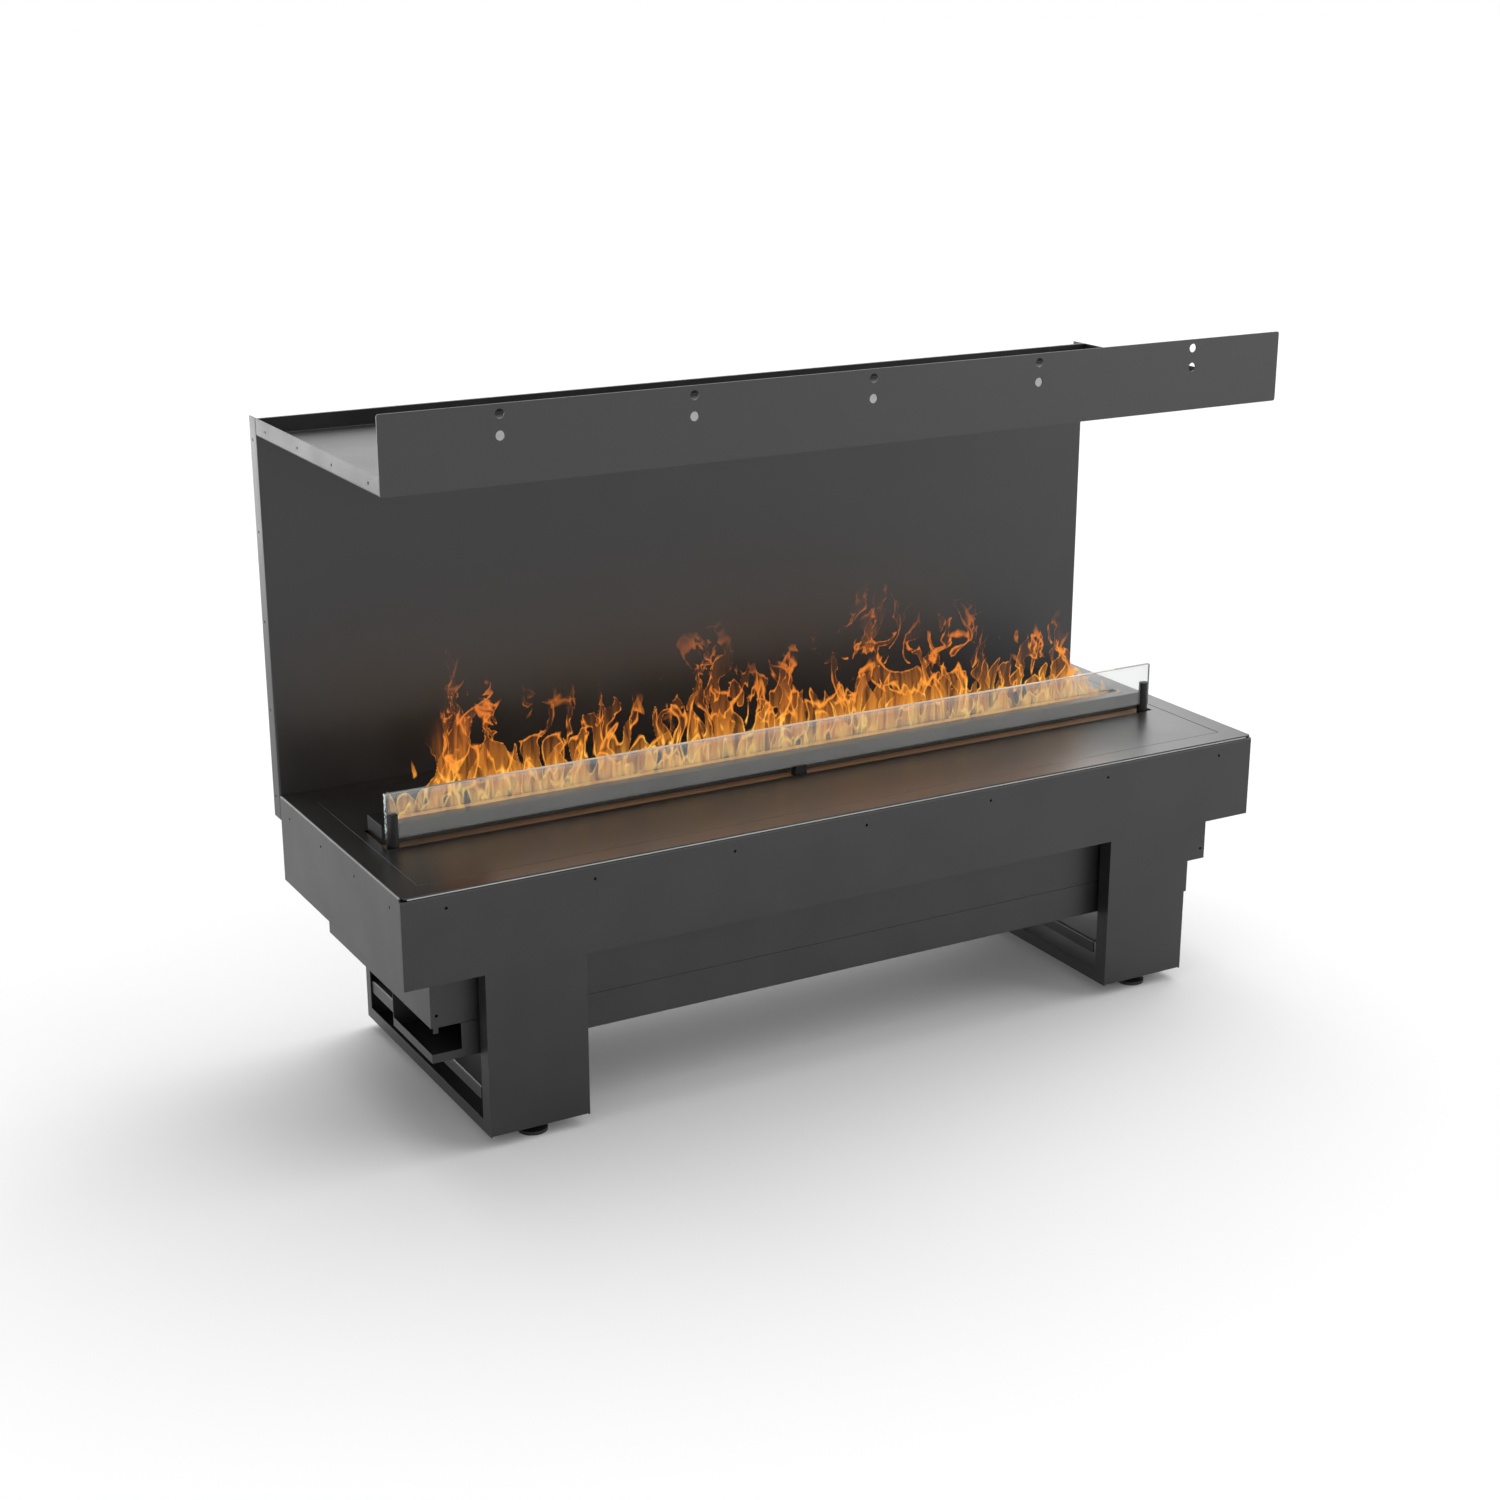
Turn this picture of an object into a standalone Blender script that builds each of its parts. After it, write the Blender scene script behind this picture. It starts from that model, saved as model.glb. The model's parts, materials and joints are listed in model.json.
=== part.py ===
"""A three-sided water-vapour fireplace.

A steel casing that is open at the front and both ends, with an insert that lifts out. Metres, +Z up. The
origin is on the floor, under the middle of the casing. The open front faces -Y, and +X is to the right of
someone who looks at the fire. Heights are counted from the floor, and most of the pieces are placed from
the top of the deck, the sheet that surrounds the burner.
"""

import math

import bmesh
import bpy

# Casing sheets
CASING_WIDTH = 1.340
CASING_DEPTH = 0.442
SHEET = 0.002
BEND = 0.003
CLEARANCE = 0.0003
CUT_OVERRUN = 0.004
SKIRT_DROP = 0.123
SKIRT_REVEAL = 0.0025
SKIRT_RETURN = 0.018
CORNER_RELIEF = 0.0045
CHAMBER_HEIGHT = 0.4955
FASCIA_HEIGHT = 0.097
FASCIA_CORNER = 0.003
HOOD_FLANGE = 0.0235
BACK_FLANGE = 0.0265
BACK_LAP = 0.036
SEAL_INSET = 0.010
SEAL_SETBACK = 0.004
SEAL_WIDTH = 0.012

# Screw holes round the edges, where the wall boards are fixed
SCREW_HOLE_RADIUS = 0.002
LONG_ROW_HOLES = 7
LONG_ROW_MARGIN = 0.060
SHORT_ROW_HOLES = 4
SHORT_ROW_MARGIN = 0.0365
UPRIGHT_ROW_HOLES = 5
UPRIGHT_ROW_MARGIN = 0.0305
SKIRT_HOLE_DROP = 0.023
HOOD_HOLE_RISE = 0.0114
UPRIGHT_HOLE_EDGE = 0.010
FASCIA_HOLE_RADIUS = 0.006
FASCIA_HOLE_PAIRS = 5
FASCIA_HOLE_MARGIN = 0.1526
FASCIA_HOLE_LOW = 0.0590
FASCIA_HOLE_GAP = 0.026

# Legs, braces and levelling feet
LEG_DROP = 0.351
LEG_INSET = 0.109
LEG_WIDTH = 0.141
LEG_FLANGE = 0.024
LEG_REAR_FLANGE = 0.0155
LEG_FOOT_FLANGE = 0.017
BRACE_DROP = 0.291
BRACE_FLANGE = 0.019
BRACE_FLANGE_STOP = 0.035
FOOT_REACH = 0.016
FOOT_RADIUS = 0.020
FOOT_EDGE = 0.005
FOOT_DOME = 0.0035
FOOT_TOP_RADIUS = 0.009
FOOT_INSET = 0.030
STEM_RADIUS = 0.005
STEM_LENGTH = 0.036
NUT_RADIUS = 0.0095
NUT_HEIGHT = 0.006

# Insert: tub, lower housing and cover
INSERT_SIDE_INSET = 0.0465
INSERT_FRONT_INSET = 0.035
INSERT_REAR_INSET = 0.038
INSERT_DROP = 0.197
INSERT_SHEET = 0.0015
RIM_OVERHANG = 0.0085
RIM_END_WIDTH = 0.0055
RIM_LONG_WIDTH = 0.013
TUB_HOLE_INSET = 0.008
TUB_HOLE_RISE = 0.0165
TAB_INSET = 0.005
TAB_WIDTH = 0.007
TAB_DROP = 0.010
LOWER_DEPTH = 0.134
LOWER_DROP = 0.245
LOWER_RIGHT_INSET = 0.077
LOWER_LIP = 0.012
LOWER_OPEN_LENGTH = 0.041
COVER_SIDE_INSET = 0.036
COVER_FRONT_INSET = 0.0335
COVER_REAR_INSET = 0.0335
COVER_GAP = 0.001
SLOT_SIDE_INSET = 0.050
SLOT_FRONT_INSET = 0.170
SLOT_DEPTH = 0.084
LEDGE_INSET = 0.010
LEDGE_STEP = 0.022
LEDGE_END_MARGIN = 0.040

# Burner, glass and its posts
TRIM_FOLD = 0.030
BURNER_SIDE_INSET = 0.055
BURNER_FRONT_INSET = 0.200
BURNER_DEPTH = 0.052
BURNER_RISE = 0.022
BURNER_DROP = 0.034
BURNER_WALL = 0.0015
FLAME_SLOT_WIDTH = 0.014
FLAME_SLOT_END = 0.025
LIGHT_BAR_WIDTH = 0.008
LIGHT_BAR_HEIGHT = 0.007
LIGHT_BAR_DROP = 0.004
POST_INSET = 0.062
POST_CENTRE = 0.180
POST_RADIUS = 0.008
POST_RISE = 0.044
GLASS_SIDE_INSET = 0.053
GLASS_THICKNESS = 0.006
GLASS_BOTTOM = 0.0095
GLASS_HEIGHT = 0.0625
GLASS_SLOT_PLAY = 0.0003
CLIP_LENGTH = 0.018
CLIP_DEPTH = 0.012
CLIP_GRIP = 0.0015
CLAMP_RADIUS = 0.002
CLAMP_RISE = 0.030
CLAMP_HEAD = 0.0012

# Mist tank, hood, transducers and fans
TANK_SIDE_INSET = 0.130
TANK_FRONT_INSET = 0.176
TANK_DEPTH = 0.100
TANK_TOP_DROP = 0.092
TANK_WALL = 0.002
HOOD_WALL = 0.002
TRANSDUCERS = 3
TRANSDUCER_END_MARGIN = 0.120
TRANSDUCER_RADIUS = 0.022
TRANSDUCER_HEIGHT = 0.014
TRANSDUCER_DISC = 0.010
TRANSDUCER_DISH = 0.003
FANS = 3
FAN_SIZE = 0.060
FAN_THICKNESS = 0.020
FAN_BORE = 0.028
FAN_HUB = 0.013
FAN_BLADE_TIP = 0.0265
FAN_BLADE_THICKNESS = 0.0015
FAN_BLADES = 7
FAN_BLADE_PITCH = 34.0
FAN_STRUT = 0.004
FAN_MOTOR_DEPTH = 0.004
FAN_ROTOR_GAP = 0.0005
FAN_BELOW_RIM = 0.034
FAN_END_MARGIN = 0.130
FLOAT_END_INSET = 0.190
FLOAT_STEM_RADIUS = 0.002
FLOAT_BASE_RADIUS = 0.009
FLOAT_BASE_HEIGHT = 0.008
FLOAT_RADIUS = 0.012
FLOAT_HEIGHT = 0.016
FLOAT_BORE = 0.0024
FLOAT_TRAVEL = 0.030
FLOAT_STOP_RADIUS = 0.004
FLOAT_STOP_HEIGHT = 0.003

# Water tank, pump, electrics and drain
WATER_LEFT_INSET = 0.092
WATER_FRONT_INSET = 0.044
WATER_FAN_GAP = 0.010
WATER_TOP_DROP = 0.074
WATER_WALL = 0.0025
NECK_INSET = 0.068
NECK_RADIUS = 0.018
NECK_BORE = 0.015
NECK_HEIGHT = 0.012
CAP_RADIUS = 0.0215
CAP_HEIGHT = 0.014
CAP_TOP = 0.003
CAP_GRIP = 0.006
PUMP_GAP = 0.022
PUMP_CONTROL_GAP = 0.040
PUMP_SIZE = 0.048
PUMP_HEIGHT = 0.040
PUMP_MOTOR_RADIUS = 0.017
PUMP_MOTOR_HEIGHT = 0.016
PUMP_PORT_RADIUS = 0.005
PUMP_PORT_LENGTH = 0.014
PUMP_PORT_RISE = 0.020
HOSE_RADIUS = 0.0065
CONTROL_GAP = 0.050
CONTROL_LENGTH = 0.230
CONTROL_DEPTH = 0.090
CONTROL_HEIGHT = 0.052
STANDOFF_RADIUS = 0.004
STANDOFF_HEIGHT = 0.008
BOARD_MARGIN = 0.008
BOARD_THICKNESS = 0.0016
CHIP_HEIGHT = 0.006
CHIP_SIZE = 0.019
CHIP_PLACE_SHARES = (0.48, 0.66)
SINK_SIZE = 0.029
SINK_PLACE_SHARE = 0.25
CAPACITOR_RADIUS = 0.006
CAPACITOR_PLACE_SHARE = 0.83
SINK_HEIGHT = 0.018
SUPPLY_RIGHT_INSET = 0.145
SUPPLY_LENGTH = 0.215
SUPPLY_DEPTH = 0.095
SUPPLY_HEIGHT = 0.042
SUPPLY_VENTS = 9
SUPPLY_VENT_WIDTH = 0.004
SUPPLY_VENT_DEPTH = 0.002
INLET_RIGHT_INSET = 0.340
INLET_FLANGE_WIDTH = 0.062
INLET_FLANGE_HEIGHT = 0.032
INLET_FLANGE_THICKNESS = 0.003
INLET_BODY_WIDTH = 0.052
INLET_BODY_HEIGHT = 0.024
INLET_BODY_DEPTH = 0.024
INLET_DROP = 0.172
SOCKET_WIDTH = 0.024
SOCKET_HEIGHT = 0.016
SOCKET_DEPTH = 0.016
SOCKET_OFFSET = 0.012
PIN_WIDTH = 0.002
PIN_HEIGHT = 0.004
PIN_SPACING = 0.007
PIN_REACH = 0.013
ROCKER_WIDTH = 0.016
ROCKER_HEIGHT = 0.0135
ROCKER_BODY = 0.008
ROCKER_OFFSET = 0.015
ROCKER_PLAY = 0.0006
ROCKER_TILT = 8.0
ROCKER_POCKET = 0.012
LEAD_RADIUS = 0.0035
LEAD_RISE = 0.012
LEAD_RIGHT_INSET = 0.078
LEAD_STEPS = 8
LEAD_TURN = 0.030
LEAD_TURN_SHARE = 0.45
VALVE_CENTRE = 0.104
VALVE_LENGTH = 0.046
VALVE_RADIUS = 0.008
VALVE_BORE = 0.004
VALVE_FRONT_INSET = 0.100
VALVE_DROP = 0.218
VALVE_STUB_RADIUS = 0.006
VALVE_STUB_INSET = 0.009
VALVE_BOSS_RADIUS = 0.004
VALVE_BOSS_RISE = 0.003
LEVER_LENGTH = 0.030
LEVER_WIDTH = 0.007
LEVER_THICKNESS = 0.003
LEVER_PIVOT_RADIUS = 0.006

# Facets of the round shapes
SMALL_FACETS = 10
ROUND_FACETS = 20
FOOT_FACETS = 28
BEND_STEPS = 3
SHARP_ANGLE = 40.0

# Places that follow from the sizes above
LEFT = -CASING_WIDTH / 2
RIGHT = CASING_WIDTH / 2
FRONT = -(CASING_DEPTH + BACK_FLANGE) / 2
BACK = FRONT + CASING_DEPTH
DECK = FOOT_REACH + LEG_DROP
CEILING = DECK + CHAMBER_HEIGHT
LEG_BOTTOM = DECK - LEG_DROP
INNER_FRONT = FRONT + SHEET + CLEARANCE
INNER_BACK = BACK - SHEET - CLEARANCE
TUB_LEFT = LEFT + INSERT_SIDE_INSET
TUB_RIGHT = RIGHT - INSERT_SIDE_INSET
TUB_FRONT = FRONT + INSERT_FRONT_INSET
TUB_BACK = BACK - INSERT_REAR_INSET
TUB_BOTTOM = DECK - INSERT_DROP
TUB_FLOOR = TUB_BOTTOM + INSERT_SHEET
COVER_UNDERSIDE = DECK - SHEET
COVER_FRONT = FRONT + COVER_FRONT_INSET
COVER_BACK = BACK - COVER_REAR_INSET
RIM_TOP = COVER_UNDERSIDE - CLEARANCE
RIM_UNDERSIDE = RIM_TOP - INSERT_SHEET
TRIM_TOP = RIM_UNDERSIDE - CLEARANCE
LOWER_TOP = TUB_BOTTOM - CLEARANCE
LOWER_BOTTOM = DECK - LOWER_DROP
FLOOR_SEAT = TUB_FLOOR + CLEARANCE
TANK_FRONT = FRONT + TANK_FRONT_INSET
TANK_TOP = DECK - TANK_TOP_DROP
TANK_FLOOR = FLOOR_SEAT + TANK_WALL
BURNER_FRONT = FRONT + BURNER_FRONT_INSET
BURNER_BACK = BURNER_FRONT + BURNER_DEPTH
BURNER_TOP = DECK + BURNER_RISE
BURNER_BOTTOM = DECK - BURNER_DROP
POST_Y = FRONT + POST_CENTRE
GLASS_FOOT = DECK + GLASS_BOTTOM
SUPPLY_LEFT = RIGHT - SUPPLY_RIGHT_INSET - SUPPLY_LENGTH
CONTROL_LEFT = SUPPLY_LEFT - CONTROL_GAP - CONTROL_LENGTH
ELECTRICS_Y = (TUB_FRONT + TANK_FRONT - FAN_THICKNESS) / 2
PUMP_LEFT = CONTROL_LEFT - PUMP_CONTROL_GAP - PUMP_SIZE
WATER_LEFT = LEFT + WATER_LEFT_INSET
WATER_RIGHT = PUMP_LEFT - PUMP_GAP
WATER_FRONT = FRONT + WATER_FRONT_INSET
WATER_BACK = TANK_FRONT - FAN_THICKNESS - WATER_FAN_GAP
WATER_Y = (WATER_FRONT + WATER_BACK) / 2
WATER_TOP = DECK - WATER_TOP_DROP
INLET_X = RIGHT - INLET_RIGHT_INSET
INLET_Z = DECK - INLET_DROP
VALVE_X = LEFT + VALVE_CENTRE
VALVE_Y = FRONT + VALVE_FRONT_INSET
VALVE_Z = DECK - VALVE_DROP


def clear_scene():
    for item in list(bpy.data.objects):
        bpy.data.objects.remove(item, do_unlink=True)


def material(name, colour, roughness, metallic):
    """One Principled material, or the one that already has this name."""
    if name in bpy.data.materials:
        return bpy.data.materials[name]
    made = bpy.data.materials.new(name)
    made.use_nodes = True
    shader = made.node_tree.nodes["Principled BSDF"]
    shader.inputs["Base Color"].default_value = (*colour, 1)
    shader.inputs["Roughness"].default_value = roughness
    shader.inputs["Metallic"].default_value = metallic
    return made


def black_powder_coat():
    return material("black_powder_coat", (0.045, 0.045, 0.047), 0.55, 0.0)


def black_enamel():
    return material("black_enamel", (0.012, 0.012, 0.012), 0.35, 0.0)


def galvanised_steel():
    return material("galvanised_steel", (0.55, 0.56, 0.57), 0.4, 1.0)


def zinc_steel():
    return material("zinc_steel", (0.62, 0.62, 0.6), 0.35, 1.0)


def black_rubber():
    return material("black_rubber", (0.015, 0.015, 0.015), 0.8, 0.0)


def black_plastic():
    return material("black_plastic", (0.02, 0.02, 0.02), 0.45, 0.0)


def white_plastic():
    return material("white_plastic", (0.75, 0.75, 0.72), 0.4, 0.0)


def clear_glass():
    return material("clear_glass", (0.85, 0.9, 0.88), 0.05, 0.0)


def board_green():
    return material("board_green", (0.02, 0.16, 0.06), 0.5, 0.0)


def brass():
    return material("brass", (0.65, 0.45, 0.16), 0.3, 1.0)


def light_strip():
    return material("light_strip", (0.9, 0.75, 0.5), 0.4, 0.0)


def box(low, high):
    """The mesh of a box between two corners."""
    work = bmesh.new()
    bmesh.ops.create_cube(work, size=1)
    for vertex in work.verts:
        for axis in range(3):
            middle = (low[axis] + high[axis]) / 2
            vertex.co[axis] = middle + vertex.co[axis] * (high[axis] - low[axis])
    return work


def prism(outline, axis, start, end):
    """A solid of one outline, run along an axis. Its values are the other two axes, in X, Y, Z order."""
    work = bmesh.new()
    rings = []
    for level in (start, end):
        ring = []
        for first, second in outline:
            place = [first, second]
            place.insert(axis, level)
            ring.append(work.verts.new(place))
        rings.append(ring)
    count = len(outline)
    work.faces.new(rings[0])
    work.faces.new(list(reversed(rings[1])))
    for index in range(count):
        following = (index + 1) % count
        work.faces.new((rings[0][index], rings[1][index], rings[1][following], rings[0][following]))
    bmesh.ops.recalc_face_normals(work, faces=work.faces)
    return work


def circle(centre, radius, facets):
    turns = [2 * math.pi * (index + 0.5) / facets for index in range(facets)]
    return [(centre[0] + radius * math.cos(turn), centre[1] + radius * math.sin(turn)) for turn in turns]


def rod(centre, radius, axis, start, end, facets=ROUND_FACETS):
    """A round bar along an axis. The centre's two values are the other axes, in X, Y, Z order."""
    return prism(circle(centre, radius, facets), axis, start, end)


def turned(profile, place, facets):
    """A solid turned about the vertical through place, from (radius, height) points, axis to axis."""
    work = bmesh.new()
    x, y, z = place
    rings = []
    for radius, height in profile:
        if radius == 0:
            rings.append([work.verts.new((x, y, z + height))])
            continue
        ring = circle((x, y), radius, facets)
        rings.append([work.verts.new((point[0], point[1], z + height)) for point in ring])
    for lower, upper in zip(rings, rings[1:]):
        for index in range(facets):
            following = (index + 1) % facets
            corners = [lower[index % len(lower)], lower[following % len(lower)]]
            corners += [upper[following % len(upper)], upper[index % len(upper)]]
            work.faces.new(list(dict.fromkeys(corners)))
    bmesh.ops.recalc_face_normals(work, faces=work.faces)
    return work


def bent_sheet(corners, thickness, radius):
    """The outline of a folded sheet. The corners are its outer side, and the sheet lies to their right."""
    outer = [corners[0]]
    inner = [offset_point(corners[0], corners[1], corners[0], thickness)]
    for before, corner, after in zip(corners, corners[1:], corners[2:]):
        into = unit(before, corner)
        out = unit(corner, after)
        turn = into[0] * out[1] - into[1] * out[0]
        folds_right = turn < 0
        near = radius if folds_right else radius - thickness
        far = radius - thickness if folds_right else radius
        side = 1 if folds_right else -1
        normal_in = (into[1] * side, -into[0] * side)
        normal_out = (out[1] * side, -out[0] * side)
        centre = (
            corner[0] - into[0] * near + normal_in[0] * near,
            corner[1] - into[1] * near + normal_in[1] * near,
        )
        for step in range(BEND_STEPS + 1):
            share = step / BEND_STEPS * math.pi / 2
            mix_in = math.cos(share)
            mix_out = math.sin(share)
            away = (
                -(normal_in[0] * mix_in + normal_out[0] * mix_out),
                -(normal_in[1] * mix_in + normal_out[1] * mix_out),
            )
            outer.append((centre[0] + away[0] * near, centre[1] + away[1] * near))
            inner.append((centre[0] + away[0] * far, centre[1] + away[1] * far))
    outer.append(corners[-1])
    inner.append(offset_point(corners[-2], corners[-1], corners[-1], thickness))
    return outer + list(reversed(inner))


def unit(start, end):
    length = math.hypot(end[0] - start[0], end[1] - start[1])
    return ((end[0] - start[0]) / length, (end[1] - start[1]) / length)


def offset_point(start, end, point, distance):
    """The point moved to the right of the line from start to end."""
    along = unit(start, end)
    return (point[0] + along[1] * distance, point[1] - along[0] * distance)


def row(first, last, count):
    return [first + (last - first) * index / (count - 1) for index in range(count)]


def mesh_object(name, work, origin, surface=None):
    """A new object whose mesh is given in world places and stored about its own origin."""
    for vertex in work.verts:
        for axis in range(3):
            vertex.co[axis] -= origin[axis]
    mesh = bpy.data.meshes.new(name)
    work.to_mesh(mesh)
    work.free()
    if surface:
        mesh.materials.append(surface)
    made = bpy.data.objects.new(name, mesh)
    bpy.context.scene.collection.objects.link(made)
    return made


def combined(works):
    """Several meshes that don't meet, as one."""
    whole = bmesh.new()
    for work in works:
        mesh = bpy.data.meshes.new("loose")
        work.to_mesh(mesh)
        work.free()
        whole.from_mesh(mesh)
        bpy.data.meshes.remove(mesh)
    return whole


def add_boolean(piece, work, origin, operation, number):
    tool = mesh_object(f"{piece.name}_{operation.lower()}_{number}", work, origin)
    tool.parent = piece
    tool.hide_render = True
    tool.display_type = "WIRE"
    step = piece.modifiers.new(f"{operation.lower()} {number}", "BOOLEAN")
    step.operation = operation
    step.solver = "EXACT"
    step.object = tool


def make_piece(name, surface, base, joins=(), cuts=(), origin=(0, 0, 0), parent=None, smooth=False):
    """One sub-part: a base solid, solids that are fused to it, and shapes that are cut from it."""
    piece = mesh_object(name, base, origin, surface)
    if smooth:
        piece.data.shade_smooth()
        piece.data.set_sharp_from_angle(angle=math.radians(SHARP_ANGLE))
    for number, work in enumerate(joins, 1):
        add_boolean(piece, work, origin, "UNION", number)
    for number, work in enumerate(cuts, 1):
        add_boolean(piece, work, origin, "DIFFERENCE", number)
    place_under(piece, origin, parent)
    return piece


def place_under(item, origin, parent):
    """Puts an object at a world place under a parent that isn't turned."""
    item.parent = parent
    base = world_place(parent)
    item.location = [origin[axis] - base[axis] for axis in range(3)]


def world_place(item):
    place = [0, 0, 0]
    while item:
        place = [place[axis] + item.location[axis] for axis in range(3)]
        item = item.parent
    return place


def guide(name, origin, parent=None):
    """An empty that carries the pieces of one moving body, on its joint's axis."""
    empty = bpy.data.objects.new(name, None)
    empty.empty_display_size = SKIRT_DROP
    bpy.context.scene.collection.objects.link(empty)
    place_under(empty, origin, parent)
    return empty


def holes(places, axis, radius, start, end, facets=SMALL_FACETS):
    return combined([rod(place, radius, axis, start, end, facets) for place in places])


def long_row():
    return row(LEFT + LONG_ROW_MARGIN, RIGHT - LONG_ROW_MARGIN, LONG_ROW_HOLES)


def short_row():
    return row(FRONT + SHORT_ROW_MARGIN, BACK - SHORT_ROW_MARGIN, SHORT_ROW_HOLES)


def through_x():
    return LEFT - CUT_OVERRUN, RIGHT + CUT_OVERRUN


def casing_base(parent):
    """The deck with its folded left, right and rear skirts, and the opening that the insert hangs in."""
    low = DECK - SKIRT_DROP
    side_outline = bent_sheet([(LEFT, low), (LEFT, DECK), (RIGHT, DECK), (RIGHT, low)], SHEET, BEND)
    rear_outline = bent_sheet([(FRONT, DECK), (BACK, DECK), (BACK, low)], SHEET, BEND)
    body = prism(side_outline, 1, FRONT, BACK)
    rear = prism(rear_outline, 0, LEFT + BEND, RIGHT - BEND)
    hole_z = DECK - SKIRT_HOLE_DROP
    opening = box(
        (LEFT + COVER_SIDE_INSET - COVER_GAP, COVER_FRONT - COVER_GAP, low),
        (RIGHT - COVER_SIDE_INSET + COVER_GAP, COVER_BACK + COVER_GAP, CEILING),
    )
    relief = DECK - CORNER_RELIEF
    corners = []
    skirt_ends = []
    for side, edge in ((1, LEFT), (-1, RIGHT)):
        span = sorted((edge - side * CUT_OVERRUN, edge + side * CORNER_RELIEF))
        corners.append(box((span[0], FRONT - CUT_OVERRUN, relief), (span[1], FRONT + CORNER_RELIEF, CEILING)))
        span = sorted((edge - side * CUT_OVERRUN, edge + side * (BEND + CLEARANCE)))
        start = (span[0], FRONT - CUT_OVERRUN, low - CUT_OVERRUN)
        skirt_ends.append(box(start, (span[1], INNER_FRONT, relief + CLEARANCE)))
    side_holes = holes([(y, hole_z) for y in short_row()], 0, SCREW_HOLE_RADIUS, *through_x())
    rear_places = [(x, hole_z) for x in long_row()]
    rear_holes = holes(rear_places, 1, SCREW_HOLE_RADIUS, BACK - BEND, BACK + CUT_OVERRUN)
    cuts = [opening, combined(corners), combined(skirt_ends), side_holes, rear_holes]
    return make_piece("casing_base", black_powder_coat(), body, [rear], cuts, parent=parent)


def front_skirt(parent):
    """The sheet that closes the front, with its return fold under the deck's edge."""
    low = DECK - SKIRT_DROP
    top = DECK - SHEET - SKIRT_REVEAL
    outline = bent_sheet([(FRONT, low), (FRONT, top), (FRONT + SKIRT_RETURN, top)], SHEET, BEND)
    body = prism(outline, 0, LEFT, RIGHT)
    ends = []
    for side, edge in ((1, LEFT), (-1, RIGHT)):
        span = sorted((edge - side * CUT_OVERRUN, edge + side * (BEND + CLEARANCE)))
        near = (span[0], FRONT + SHEET, top - CUT_OVERRUN)
        ends.append(box(near, (span[1], FRONT + SHEET + SKIRT_RETURN, top + CUT_OVERRUN)))
    places = [(x, DECK - SKIRT_HOLE_DROP) for x in long_row()]
    row_cut = holes(places, 1, SCREW_HOLE_RADIUS, FRONT - CUT_OVERRUN, FRONT + CUT_OVERRUN)
    cuts = [combined(ends), row_cut]
    return make_piece("front_skirt", black_powder_coat(), body, (), cuts, parent=parent)


def skirt_seal(parent):
    low = DECK - SHEET - SKIRT_REVEAL + CLEARANCE
    high = DECK - SHEET - CLEARANCE
    start = FRONT + SEAL_SETBACK
    strip = box((LEFT + SEAL_INSET, start, low), (RIGHT - SEAL_INSET, start + SEAL_WIDTH, high))
    return make_piece("skirt_seal", black_rubber(), strip, parent=parent)


def back_panel(parent):
    """The upright sheet behind the fire, with two flanges folded to the rear."""
    face = BACK + CLEARANCE
    rear = BACK + BACK_FLANGE
    low = DECK - BACK_LAP
    high = CEILING + HOOD_FLANGE
    outline = bent_sheet([(RIGHT, rear), (RIGHT, face), (LEFT, face), (LEFT, rear)], SHEET, BEND)
    body = prism(outline, 2, low, high)
    heights = row(high - UPRIGHT_ROW_MARGIN, low + UPRIGHT_ROW_MARGIN, UPRIGHT_ROW_HOLES)
    flange_places = [(rear - UPRIGHT_HOLE_EDGE, z) for z in heights]
    flange_holes = holes(flange_places, 0, SCREW_HOLE_RADIUS, *through_x())
    face_places = [(x, z) for x in long_row() for z in (CEILING + HOOD_HOLE_RISE, DECK - SKIRT_HOLE_DROP)]
    face_holes = holes(face_places, 1, SCREW_HOLE_RADIUS, BACK - CUT_OVERRUN, face + CUT_OVERRUN)
    cuts = [flange_holes, face_holes]
    return make_piece("back_panel", black_powder_coat(), body, (), cuts, parent=parent)


def hood_tray(parent):
    """The ceiling sheet with four upturned flanges."""
    top = CEILING + HOOD_FLANGE
    sides = bent_sheet([(RIGHT, top), (RIGHT, CEILING), (LEFT, CEILING), (LEFT, top)], SHEET, BEND)
    path = [(BACK, top), (BACK, CEILING), (INNER_FRONT, CEILING), (INNER_FRONT, top)]
    ends = bent_sheet(path, SHEET, BEND)
    body = prism(sides, 1, INNER_FRONT, BACK)
    cross = prism(ends, 0, LEFT + BEND + CLEARANCE, RIGHT - BEND - CLEARANCE)
    hole_z = CEILING + HOOD_HOLE_RISE
    side_holes = holes([(y, hole_z) for y in short_row()], 0, SCREW_HOLE_RADIUS, *through_x())
    rear_places = [(x, hole_z) for x in long_row()]
    rear_holes = holes(rear_places, 1, SCREW_HOLE_RADIUS, BACK - BEND, BACK + CUT_OVERRUN)
    cuts = [side_holes, rear_holes]
    return make_piece("hood_tray", black_powder_coat(), body, [cross], cuts, parent=parent)


def rounded_rectangle(low, high, radius):
    """The outline of a rectangle with rounded corners."""
    centres = [
        (high[0] - radius, high[1] - radius, 0),
        (low[0] + radius, high[1] - radius, 1),
        (low[0] + radius, low[1] + radius, 2),
        (high[0] - radius, low[1] + radius, 3),
    ]
    points = []
    for x, y, quarter in centres:
        for step in range(BEND_STEPS + 1):
            turn = (quarter + step / BEND_STEPS) * math.pi / 2
            points.append((x + radius * math.cos(turn), y + radius * math.sin(turn)))
    return points


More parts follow.
